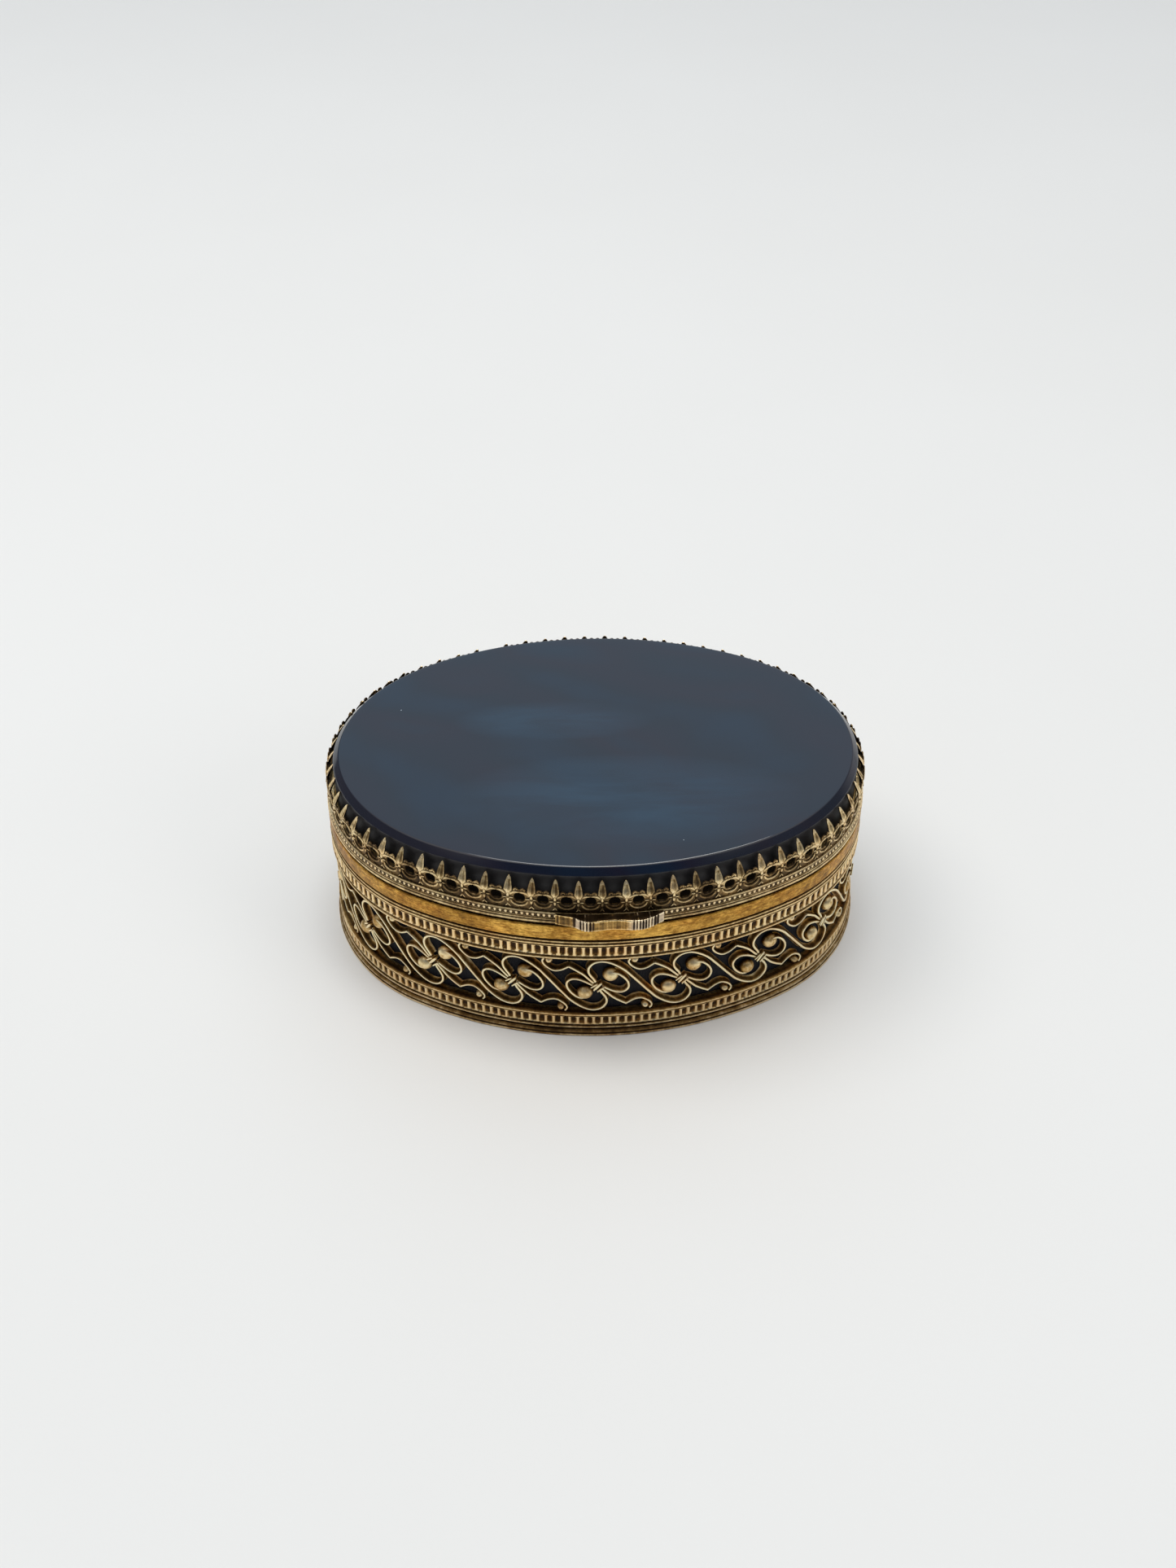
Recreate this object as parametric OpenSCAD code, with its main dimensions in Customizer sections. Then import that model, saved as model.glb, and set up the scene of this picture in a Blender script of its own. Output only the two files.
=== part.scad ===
// Oval gilt-brass pill box: pierced scroll gallery round the base, stone slab lid held by claws.
// Millimetres, +Z up, front (thumb piece) towards -Y, hinge at +Y.
// The origin is the centre of the flat underside.
//
// Every ring is one profile swept round a four-centred oval: two end arcs and two side arcs.
// A profile is drawn with x = distance outside the oval's outline and y = height.

/* [Outline] */
// length of the oval outline, left to right
body_l = 66; // [62:1:72]
// distance from the middle to the centre of each end arc; the four arcs then meet at 60 degrees
end_c = 11.9504; // [10.5:0.0001:13.5]

/* [Base] */
// height of the pierced scroll gallery
gallery_h = 9.35; // [8:0.05:11]
// height of the plain collar under the lid
collar_h = 2.2; // [1.8:0.05:3]
// flutes round each fluted band
flute_n = 190; // [120:2:200]
// scroll units round the gallery
scroll_n = 18; // [16:1:20]
// where the front scroll knot stands, right of the centre line
scroll_shift = -0.5; // [-5:0.1:5]

/* [Lid] */
// claw pitches round the lid
claw_pitches = 67.5; // [60.5:1:71.5]
// claws standing left of the front claw, before the strip's seam
claw_left = 28; // [20:1:29]
// height of the stone slab above the lid plate
slab_h = 4.93; // [4.8:0.05:5.4]
// plan width of the slab's polished bevel
slab_bevel = 0.93; // [0.5:0.01:1.4]

/* [Thumb piece] */
// half length of the thumb piece
thumb_half = 6.1; // [4:0.1:8]
// where it stands, right of the centre line
thumb_shift = 0.8; // [-2:0.1:2]
// height of its front face
thumb_h = 1.5; // [1:0.05:1.55]

/* [Hinge] */
// length of one knuckle
knuckle_l = 3.1; // [2.4:0.1:3.6]
// knuckle radius
knuckle_r = 1.0; // [0.9:0.05:1.05]
// pin radius
pin_r = 0.45; // [0.4:0.01:0.5]

/* [Hidden] */
half_l = body_l/2;
junction = 60;
end_r = half_l-end_c;
side_r = end_r+2*end_c;
side_c = end_c*tan(junction);
half_w = side_r-side_c;
side_arc = side_r*(90-junction)*PI/180;
end_arc = end_r*2*junction*PI/180;
outline_l = 4*side_arc+2*end_arc;

// heights of the stacked rings
foot_top = 1.6;
lower_top = foot_top+2.0;
gallery_top = lower_top+gallery_h;
upper_top = gallery_top+3.15;
collar_top = upper_top+collar_h;
seam = 0.35;
lid_low = collar_top+seam;
rim_h = 1.65;
rim_top = lid_low+rim_h;
slab_low = rim_top+0.05;
slab_top = slab_low+slab_h;

// radial build, all measured from the outline
band_in = -1.0;
sleeve_out = -1.05;
sleeve_in = -1.65;
flange_out = -1.25;
flange_in = -1.75;
lining_out = -1.8;
lining_in = -2.35;
rim_in = -0.9;
strip_out = -0.2;
strip_in = -0.55;
slab_side = -1.25;

plate_t = 0.6;
lip_t = 0.3;
pad_t = 1.6;
lid_plate_t = 0.5;
flange_rise = 0.85;
scroll_out = -0.05;
scroll_depth = 0.8;
scroll_w = 0.42;
rail_h = 0.3;
claw_pitch = outline_l/claw_pitches;
hinge_y = half_w+1.45;
hinge_z = collar_top+seam/2;
knuckle_gap = 0.1;
bore_play = 0.05;
leaf_face = hinge_y-knuckle_r-0.1;
through = 6;

gilt = [0.72, 0.55, 0.29];
dark_gilt = [0.5, 0.38, 0.2];
stone = [0.1, 0.14, 0.22];
velvet = [0.1, 0.11, 0.2];

// which node to draw
$fn = 240;

// outward direction, in degrees, at arc length s from the front centre, anticlockwise
function turn(s) = let(t = s-outline_l*floor((s+side_arc)/outline_l))
    t <= side_arc ? -90+t/side_r*180/PI :
    t <= side_arc+end_arc ? -junction+(t-side_arc)/end_r*180/PI :
    t <= 3*side_arc+end_arc ? junction+(t-side_arc-end_arc)/side_r*180/PI :
    180-junction+(t-3*side_arc-end_arc)/end_r*180/PI;

// centre and radius of the arc that holds arc length s
function arc_of(s) = let(t = s-outline_l*floor((s+side_arc)/outline_l))
    t <= side_arc ? [0, side_c, side_r] :
    t <= side_arc+end_arc ? [end_c, 0, end_r] :
    t <= 3*side_arc+end_arc ? [0, -side_c, side_r] : [-end_c, 0, end_r];

// local frame on the wall: x outwards, y along the wall, z up
module on_wall(s, e = 0, z = 0) {
    a = turn(s);
    c = arc_of(s);
    translate([c[0]+(c[2]+e)*cos(a), c[1]+(c[2]+e)*sin(a), z]) rotate([0, 0, a]) children();
}

// sweeps a 2D profile round the oval
module oval_ring() {
    for (way = [1, -1]) {
        translate([way*end_c, 0, 0]) rotate_extrude(start = 90-way*90-junction, angle = 2*junction)
            translate([end_r, 0]) children();
        translate([0, -way*side_c, 0])
            rotate_extrude(start = 90-way*90+junction, angle = 180-2*junction)
            translate([side_r, 0]) children();
    }
}

// solid oval with a stepped edge; edge = list of [offset, height] from bottom to top
module oval_solid(edge) {
    low = edge[0][1];
    high = edge[len(edge)-1][1];
    for (way = [1, -1]) {
        translate([way*end_c, 0, 0]) rotate_extrude(start = 90-way*90-junction, angle = 2*junction)
            polygon(concat([[0, low]], [for (p = edge) [end_r+p[0], p[1]]], [[0, high]]));
        translate([0, -way*side_c, 0])
            rotate_extrude(start = 90-way*90+junction, angle = 180-2*junction)
            polygon(concat([[0, low]], [for (p = edge) [side_r+p[0], p[1]]], [[0, high]]));
    }
}

module block(e0, e1, z0, z1) {
    translate([e0, z0]) square([e1-e0, z1-z0]);
}

// ribbon of constant width along a polyline
function unit2(v) = v/norm(v);
function side_of(p, i) = let(a = p[max(i-1, 0)], b = p[min(i+1, len(p)-1)], d = unit2(b-a)) [-d[1], d[0]];
module ribbon(p, w) {
    n = len(p)-1;
    polygon(concat([for (i = [0:n]) p[i]+side_of(p, i)*w/2], [for (i = [n:-1:0]) p[i]-side_of(p, i)*w/2]));
}

// one scroll unit, drawn round its knot: x along the wall, y up
scroll_s = [[-0.2, 0.4], [-0.6, 1.4], [-1.0, 2.2], [-1.0, 3.0], [-0.75, 3.75], [-0.1, 4.2], [0.6, 4.3],
    [1.45, 4.1], [2.5, 3.4], [3.4, 2.5], [4.2, 1.35], [5.1, 0]];
curl = [[0.3, 0], [1.1, -0.5], [2.1, -1.1], [2.9, -1.25], [3.5, -0.95], [3.75, -0.3], [3.6, 0.5],
    [3.1, 1.3], [2.5, 1.9], [1.9, 2.1]];
branch = [[-0.5, 0.6], [-1.25, 1.5], [-2.2, 2.5], [-3.2, 3.3], [-3.6, 3.0], [-4.1, 2.7], [-4.7, 2.55],
    [-5.3, 2.7], [-5.8, 3.2], [-6.1, 3.9]];
big_ball = [1.5, 1.5];
small_ball = [-5.55, 4.05];
module scroll_unit() {
    for (half = [0, 180]) rotate(half) {
        ribbon(scroll_s, scroll_w);
        ribbon(curl, scroll_w);
        ribbon(branch, scroll_w);
    }
    rotate(48) square([1.4, 1.0], center = true);
}

module foot_ring() {
    color(gilt) oval_ring() polygon([[band_in, 0], [0.25, 0], [0.35, 0.15], [0.35, 0.7], [0.2, 0.9],
        [-0.1, 0.95], [-0.1, 1.05], [0.15, 1.1], [0.15, foot_top-0.1], [0.05, foot_top],
        [band_in, foot_top], [band_in, plate_t+lip_t], [-1.8, plate_t+lip_t], [-1.8, plate_t],
        [band_in, plate_t]]);
}

module base_plate() {
    color(dark_gilt) oval_solid([[sleeve_out, 0], [sleeve_out, plate_t]]);
}

// vertical flutes cut round a band, leaving narrow ribs
module flutes(e, z0, z1) {
    pitch = outline_l/flute_n;
    for (i = [0:flute_n-1]) on_wall(i*pitch, e, z0) cylinder(r = 0.34*pitch, h = z1-z0, $fn = 24);
}

module lower_fluted_band() {
    color(gilt) difference() {
        oval_ring() polygon([[band_in, foot_top], [0.05, foot_top], [0.05, lower_top-0.5],
            [0.15, lower_top-0.4], [0.15, lower_top-0.1], [0.05, lower_top], [band_in, lower_top]]);
        flutes(0.12, foot_top+0.12, lower_top-0.56);
    }
}

// round-fronted boss with a flat back, standing on the wall
module boss(s, z, r, out, back) {
    on_wall(s, out-r, z) intersection() {
        sphere(r = r, $fn = 48);
        translate([back-out+r, -r, -r]) cube([2*r, 2*r, 2*r]);
    }
}

module scroll_gallery() {
    pitch = outline_l/scroll_n;
    mid = (lower_top+gallery_top)/2-0.05;
    stretch = pitch/10.13;
    back = scroll_out-scroll_depth;
    color(gilt) union() {
        intersection() {
            oval_ring() block(back, scroll_out, lower_top, gallery_top);
            union() for (i = [0:scroll_n-1]) on_wall(scroll_shift+i*pitch, -2, mid)
                rotate([90, 0, 90]) linear_extrude(4) scale(stretch) scroll_unit();
        }
        oval_ring() block(back, scroll_out, lower_top, lower_top+rail_h);
        oval_ring() block(back, scroll_out, gallery_top-rail_h, gallery_top);
        for (i = [0:scroll_n-1], way = [-1, 1]) {
            knot = scroll_shift+i*pitch;
            boss(knot+way*big_ball[0]*stretch, mid+way*big_ball[1], 0.98, 0.25, back);
            boss(knot+way*small_ball[0]*stretch, mid+way*small_ball[1], 0.5, 0.1, back);
        }
    }
}

module upper_fluted_band() {
    z = gallery_top;
    color(gilt) difference() {
        oval_ring() polygon([[band_in, z], [0.02, z], [0.12, z+0.1], [0.12, z+0.38], [0, z+0.45],
            [-0.1, z+0.5], [-0.1, z+0.6], [0.03, z+0.66], [0.03, z+2.18], [-0.1, z+2.22],
            [-0.1, z+2.28], [0.1, z+2.33], [0.1, z+2.62], [-0.05, z+2.68], [-0.05, z+2.95],
            [-0.3, z+3.0], [-0.3, upper_top], [band_in, upper_top]]);
        flutes(0.1, z+0.72, z+2.12);
    }
}

module rim_collar() {
    color(gilt) oval_ring() polygon([[flange_out+0.05, upper_top], [-0.04, upper_top],
        [0, upper_top+0.1], [0.03, (upper_top+collar_top)/2], [0, collar_top-0.1],
        [-0.06, collar_top], [flange_out+0.05, collar_top]]);
}

module inner_flange() {
    color(gilt) oval_ring() polygon([[flange_in, upper_top], [flange_out, upper_top],
        [flange_out, collar_top+flange_rise-0.12], [flange_out-0.12, collar_top+flange_rise],
        [flange_in+0.05, collar_top+flange_rise], [flange_in, collar_top+flange_rise-0.05]]);
}

module backing_sleeve() {
    color(velvet) oval_ring() block(sleeve_in, sleeve_out, plate_t+lip_t, upper_top);
}

module wall_lining() {
    top = collar_top-0.75;
    color(velvet) oval_ring() polygon([[lining_in, plate_t+pad_t], [lining_out, plate_t+pad_t],
        [lining_out, top-0.1], [lining_out-0.12, top], [lining_in+0.15, top], [lining_in, top-0.15]]);
}

module floor_pad() {
    top = plate_t+pad_t;
    color(velvet) oval_solid([[-1.85, plate_t], [-1.85, top-0.25], [-1.95, top-0.08], [-2.1, top]]);
}

// one hinge leaf: a plate cut to the wall's curve, webs and knuckles; low = -1 base, +1 lid
module leaf(knuckles, low, reach, wall) {
    span = 5*knuckle_l+4*knuckle_gap;
    near = seam/2+0.05;
    difference() {
        union() {
            translate([-span/2, half_w-1.5, low > 0 ? hinge_z+near : hinge_z-near-reach])
                cube([span, leaf_face-half_w+1.5, reach]);
            for (k = knuckles) translate([k*(knuckle_l+knuckle_gap)-knuckle_l/2, 0, 0]) {
                translate([0, leaf_face-0.2, low > 0 ? hinge_z : hinge_z-knuckle_r])
                    cube([knuckle_l, hinge_y-leaf_face+0.2, knuckle_r]);
                translate([0, hinge_y, hinge_z]) rotate([0, 90, 0])
                    cylinder(r = knuckle_r, h = knuckle_l);
            }
        }
        translate([0, 0, hinge_z-through]) oval_solid([[wall, 0], [wall, 2*through]]);
        translate([-span, hinge_y, hinge_z]) rotate([0, 90, 0])
            cylinder(r = pin_r+bore_play, h = 2*span);
    }
}

module hinge_base_leaf() {
    color(gilt) leaf([-2, 0, 2], -1, 1.7, 0.05);
}

module hinge_lid_leaf() {
    color(gilt) leaf([-1, 1], 1, 1.3, 0.08);
}

module hinge_pin() {
    span = 5*knuckle_l+4*knuckle_gap+0.3;
    color(gilt) translate([-span/2, hinge_y, hinge_z]) rotate([0, 90, 0]) cylinder(r = pin_r, h = span);
}

module lid_rim() {
    z = lid_low;
    ledge = rim_top-lid_plate_t;
    color(gilt) oval_ring() polygon([[rim_in, z], [-0.03, z], [0.05, z+0.08], [0.05, z+0.28],
        [-0.02, z+0.35], [-0.2, z+0.4], [-0.2, z+1.4], [-0.02, z+1.45], [-0.02, z+1.55],
        [-0.1, rim_top], [rim_in, rim_top], [rim_in, ledge], [rim_in-0.8, ledge],
        [rim_in-0.8, ledge-0.35], [rim_in, ledge-0.35]]);
}

module bead_strip() {
    color(dark_gilt) oval_ring() polygon([[-0.19, lid_low+0.5], [-0.04, lid_low+0.58],
        [-0.04, lid_low+1.22], [-0.19, lid_low+1.3]]);
}

// a pierced strip with one leaf-shaped claw per pitch; the strip's seam has no claw
module claw_gallery() {
    last = claw_pitches-1.5-claw_left;
    strip_h = 2.5;
    color(gilt) difference() {
        union() {
            oval_ring() block(strip_in, strip_out, rim_top, rim_top+strip_h);
            for (k = [-claw_left:last]) on_wall(k*claw_pitch, -0.22, rim_top+strip_h-0.5)
                rotate([0, -20, 0]) rotate([90, 0, 90]) translate([0, 0, -0.27]) linear_extrude(0.25)
                polygon([[-0.4, -0.1], [0.4, -0.1], [0.44, 0.75], [0.3, 1.5], [0, 2.3], [-0.3, 1.5],
                    [-0.44, 0.75]]);
        }
        for (k = [-claw_left:last-1]) on_wall((k+0.5)*claw_pitch, -2, rim_top+1.7)
            rotate([0, 90, 0]) cylinder(r = 0.66, h = 4, $fn = 32);
    }
}

module lid_plate() {
    color(dark_gilt) oval_solid([[rim_in-0.05, rim_top-lid_plate_t], [rim_in-0.05, slab_low]]);
}

module agate_slab() {
    arris = 0.06;
    color(stone) oval_solid([[slab_side+0.1, slab_low], [slab_side, slab_top-slab_bevel],
        [slab_side-slab_bevel+arris, slab_top-arris], [slab_side-slab_bevel, slab_top]]);
}

module lid_lining() {
    z = rim_top-lid_plate_t;
    color(velvet) oval_solid([[-2.6, z-0.8], [-2.3, z-0.65], [-2.2, z-0.3], [-2.2, z]]);
}

// plan of the thumb piece: a bar with three shallow scallops along its front
module thumb_piece() {
    reach = 1.42;
    dip_r = 18.5;
    hollow_r = 12.5;
    color(gilt) difference() {
        on_wall(thumb_shift, 0, lid_low+0.05) linear_extrude(thumb_h) difference() {
            translate([-0.8, -thumb_half]) square([reach+0.8, 2*thumb_half]);
            translate([reach-0.17+dip_r, 0]) circle(r = dip_r);
            for (way = [-1, 1]) translate([reach+9.9, way*(thumb_half+4.52)]) circle(r = hollow_r);
        }
        oval_solid([[0.06, lid_low-1], [0.06, rim_top+1]]);
    }
}

foot_ring();
base_plate();
lower_fluted_band();
scroll_gallery();
upper_fluted_band();
rim_collar();
inner_flange();
backing_sleeve();
wall_lining();
floor_pad();
hinge_base_leaf();
hinge_pin();
hinge_lid_leaf();
lid_rim();
bead_strip();
claw_gallery();
lid_plate();
agate_slab();
lid_lining();
thumb_piece();
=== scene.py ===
import math

import bpy
import numpy as np
from mathutils import Matrix, Vector


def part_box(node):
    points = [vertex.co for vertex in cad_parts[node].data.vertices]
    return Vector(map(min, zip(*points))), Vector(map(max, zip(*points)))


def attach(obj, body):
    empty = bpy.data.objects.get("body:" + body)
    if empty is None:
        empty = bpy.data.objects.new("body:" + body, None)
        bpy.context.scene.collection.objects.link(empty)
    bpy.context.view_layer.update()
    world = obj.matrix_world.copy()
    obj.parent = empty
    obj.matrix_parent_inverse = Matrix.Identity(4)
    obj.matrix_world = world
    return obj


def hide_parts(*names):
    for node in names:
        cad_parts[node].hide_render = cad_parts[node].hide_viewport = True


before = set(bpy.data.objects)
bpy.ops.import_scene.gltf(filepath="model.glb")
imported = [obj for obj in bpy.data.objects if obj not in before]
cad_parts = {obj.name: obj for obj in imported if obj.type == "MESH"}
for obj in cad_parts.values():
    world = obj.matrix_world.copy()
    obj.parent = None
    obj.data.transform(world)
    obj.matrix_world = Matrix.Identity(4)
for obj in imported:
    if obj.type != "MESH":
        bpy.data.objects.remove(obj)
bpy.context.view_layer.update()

MM = 0.001
scene = bpy.context.scene


# ---------------------------------------------------------------- outline
# The wall follows a four-centred oval whose arcs meet at 60 degrees. Its size comes from the collar.
def span(node):
    """The low and high corners of a CAD node's box, in mm."""
    lo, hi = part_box(node)
    return np.array(lo) / MM, np.array(hi) / MM


COLLAR_PROUD = 0.03
c_lo, c_hi = span("rim_collar")
HALF_L = (c_hi[0] - c_lo[0]) / 2 - COLLAR_PROUD
HALF_W = (c_hi[1] - c_lo[1]) / 2 - COLLAR_PROUD
JOIN = math.radians(60)
K = 1 / math.cos(JOIN) - math.tan(JOIN)
END_R = (HALF_W - K * HALF_L) / (1 - K)
END_C = HALF_L - END_R
SIDE_R = END_R + END_C / math.cos(JOIN)
SIDE_C = END_C * math.tan(JOIN)
SIDE_ARC = SIDE_R * (math.pi / 2 - JOIN)
END_ARC = END_R * 2 * JOIN
LENGTH = 4 * SIDE_ARC + 2 * END_ARC


def place(s, e, z):
    """Points at arc length s from the front centre, e outside the outline and height z, all in mm."""
    s, e, z = np.broadcast_arrays(np.asarray(s, float), np.asarray(e, float), np.asarray(z, float))
    t = np.mod(s + SIDE_ARC, LENGTH) - SIDE_ARC
    a, b, c = SIDE_ARC, SIDE_ARC + END_ARC, 3 * SIDE_ARC + END_ARC
    cond = [t < a, t < b, t < c]
    cx = np.select(cond, [0 * t, 0 * t + END_C, 0 * t], -END_C)
    cy = np.select(cond, [0 * t + SIDE_C, 0 * t, 0 * t - SIDE_C], 0)
    r = np.select(cond, [0 * t + SIDE_R, 0 * t + END_R, 0 * t + SIDE_R], END_R)
    phi = np.select(cond, [-math.pi / 2 + t / SIDE_R, -JOIN + (t - a) / END_R, JOIN + (t - b) / SIDE_R],
                    math.pi - JOIN + (t - c) / END_R)
    return np.stack([cx + (r + e) * np.cos(phi), cy + (r + e) * np.sin(phi), z], -1) * MM


def wobble(s, amp, seed):
    """Slow waviness round the wall that closes on itself."""
    w = 2 * math.pi * np.asarray(s) / LENGTH
    out = 0
    for i, k in enumerate((3, 7, 13, 22, 37)):
        out = out + math.sin(seed * 1.7 + i) * np.sin(k * w + seed * (i + 1) * 2.3)
    return amp * out / 2.5


# ---------------------------------------------------------------- mesh building
class Build:
    """Gathers vertices and faces of one piece."""

    def __init__(self):
        self.v, self.f, self.uv, self.rub, self.n = [], [], [], [], 0

    def add(self, verts, faces, uv=None, rub=0.0):
        """rub adds to each vertex's wear: above 0 where hands polish it or a highlight is painted, below 0
        where tarnish stays or shade is painted.
        """
        verts = np.asarray(verts, float).reshape(-1, 3)
        self.v.append(verts)
        self.uv.append(np.zeros((len(verts), 2)) if uv is None else np.asarray(uv, float).reshape(-1, 2))
        self.rub.append(np.broadcast_to(np.asarray(rub, float).reshape(-1), (len(verts),)))
        self.f += [tuple(int(i) + self.n for i in f) for f in faces]
        self.n += len(verts)

    def grid(self, pts, wrap_u=False, wrap_v=False, uv=None, caps=False, rub=0.0):
        """A sheet of quads over a u by v grid of points, closed round or capped as asked."""
        nu, nv = pts.shape[:2]
        idx = np.arange(nu * nv).reshape(nu, nv)
        iu = np.arange(nu if wrap_u else nu - 1)
        iv = np.arange(nv if wrap_v else nv - 1)
        a, b = np.meshgrid(iu, iv, indexing="ij")
        a2, b2 = (a + 1) % nu, (b + 1) % nv
        corners = np.stack([idx[a, b], idx[a2, b], idx[a2, b2], idx[a, b2]], -1)
        faces = [tuple(q) for q in corners.reshape(-1, 4)]
        if caps:
            faces += [tuple(idx[0]), tuple(idx[-1, ::-1])]
        self.add(pts, faces, uv, rub)

    def cap_columns(self, nu, nv, way=1):
        """Closes both ends of the last grid added, which goes round in u; way -1 turns the caps over."""
        base = self.n - nu * nv
        column = range(base, base + nu * nv, nv)
        self.f.append(tuple(column[::-way]))
        self.f.append(tuple(i + nv - 1 for i in column[::way]))

    def obj(self, name, body, mat, node, smooth=40, gain=1.0):
        """Makes the Blender object that stands for one CAD node, and rides it on its body."""
        me = bpy.data.meshes.new(name)
        me.from_pydata(np.concatenate(self.v).tolist(), [], self.f)
        uv = np.concatenate(self.uv)[read(me.loops, "vertex_index", 1, np.int32).ravel()]
        me.uv_layers.new(name="wall").data.foreach_set("uv", uv.ravel().astype(np.float32))
        me.validate()
        me.update()
        me.shade_smooth()
        me.set_sharp_from_angle(angle=math.radians(smooth))
        wear_and_shade_map(me, gain, np.concatenate(self.rub))
        o = bpy.data.objects.new(name, me)
        scene.collection.objects.link(o)
        me.materials.append(mat)
        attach(o, body)
        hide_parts(node)
        return o


def read(items, key, width, kind=float):
    """One property of every item of a mesh, a row each."""
    out = np.zeros(len(items) * width, kind)
    items.foreach_get(key, out)
    return out.reshape(-1, width)


def wear_and_shade_map(me, gain, rub):
    """Stores how far each vertex stands proud of its neighbours: 1 on rubbed crests, 0 in recesses. The dark
    it gives recesses is partly tarnish and partly painted shade; the brightness on crests is partly rubbed
    gilt and partly a painted highlight.
    """
    n = len(me.vertices)
    co, no = read(me.vertices, "co", 3), read(me.vertex_normals, "vector", 3)
    ed = read(me.edges, "vertices", 2, np.int32)
    d = co[ed[:, 1]] - co[ed[:, 0]]
    d = d / (np.linalg.norm(d, axis=1) + 1e-9)[:, None]
    acc, cnt = np.zeros(n), np.zeros(n)
    for a, b, sign in ((0, 1, -1), (1, 0, 1)):
        dot = (no[ed[:, a]] * d).sum(1) * sign
        np.add.at(acc, ed[:, a], dot)
        np.add.at(cnt, ed[:, a], 1)
    cur = acc / np.maximum(cnt, 1)
    for _ in range(2):
        nb = np.zeros(n)
        np.add.at(nb, ed[:, 0], cur[ed[:, 1]])
        np.add.at(nb, ed[:, 1], cur[ed[:, 0]])
        cur = 0.5 * cur + 0.5 * nb / np.maximum(cnt, 1)
    wear = np.clip(0.5 + gain * cur + rub, 0, 1)  # 0.5 is a flat, untouched surface
    at = me.attributes.new("wear", "FLOAT", "POINT")
    at.data.foreach_set("value", wear.astype(np.float32))


def rounded(points, r, n=3, closed=True):
    """A profile with its corners rounded. A point is (e, z) or (e, z, rub)."""
    p = np.array([tuple(q) + (0.0,) * (3 - len(q)) for q in points], float)
    out = []
    m = len(p)
    for i in range(m):
        a, b, c = p[i - 1], p[i], p[(i + 1) % m]
        if not closed and i in (0, m - 1):
            out.append(b)
            continue
        da, dc = np.linalg.norm((a - b)[:2]), np.linalg.norm((c - b)[:2])
        ka, kc = min(r, da * 0.42), min(r, dc * 0.42)
        pa, pc = b + (a - b) / da * ka, b + (c - b) / dc * kc
        for t in np.linspace(0, 1, n + 1):
            out.append((1 - t) ** 2 * pa + 2 * t * (1 - t) * b + t * t * pc)
    return np.array(out)


def spline(points, n):
    """Even samples along a smooth curve through the points."""
    p = np.asarray(points, float)
    p = np.vstack([2 * p[0] - p[1], p, 2 * p[-1] - p[-2]])
    out = []
    for i in range(1, len(p) - 2):
        for t in np.linspace(0, 1, 13)[:-1]:
            a, b, c, d = p[i - 1], p[i], p[i + 1], p[i + 2]
            out.append(0.5 * (2 * b + (c - a) * t + (2 * a - 5 * b + 4 * c - d) * t * t
                              + (3 * b - a - 3 * c + d) * t ** 3))
    q = np.array(out + [p[-2]])
    run = np.concatenate([[0], np.cumsum(np.linalg.norm(np.diff(q, axis=0), axis=1))])
    at = np.linspace(0, run[-1], n)
    return np.stack([np.interp(at, run, q[:, k]) for k in range(q.shape[1])], 1)


def ring(build, profile, ns=720, amp=0.0, seed=1.0, relief=None, level=None):
    """Sweeps a closed profile of (e, z, rub) points round the wall.

    relief(s, e, z) gives how far the surface moves outwards and the rub it adds. Below level nothing
    wobbles in height.
    """
    profile = np.asarray(profile, float)
    s = np.arange(ns) * LENGTH / ns
    S, E = np.meshgrid(s, profile[:, 0], indexing="ij")
    _, Z = np.meshgrid(s, profile[:, 1], indexing="ij")
    w = wobble(s, amp, seed)[:, None]
    rub = np.broadcast_to(profile[:, 2], S.shape)
    if relief is not None:
        move, polish = relief(S, E, Z)
        E, rub = E + move, rub + polish
    uv = np.stack([S * MM, Z * MM], -1)
    rise = 0.6 * w if level is None else 0.6 * w * smoothstep(level, level + 0.4, Z)
    build.grid(place(S, E + w, Z + rise), True, True, uv, rub=rub)


def smoothstep(a, b, x):
    """0 below a, 1 above b, and a smooth rise between."""
    t = np.clip((x - a) / (b - a), 0, 1)
    return t * t * (3 - 2 * t)


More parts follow.
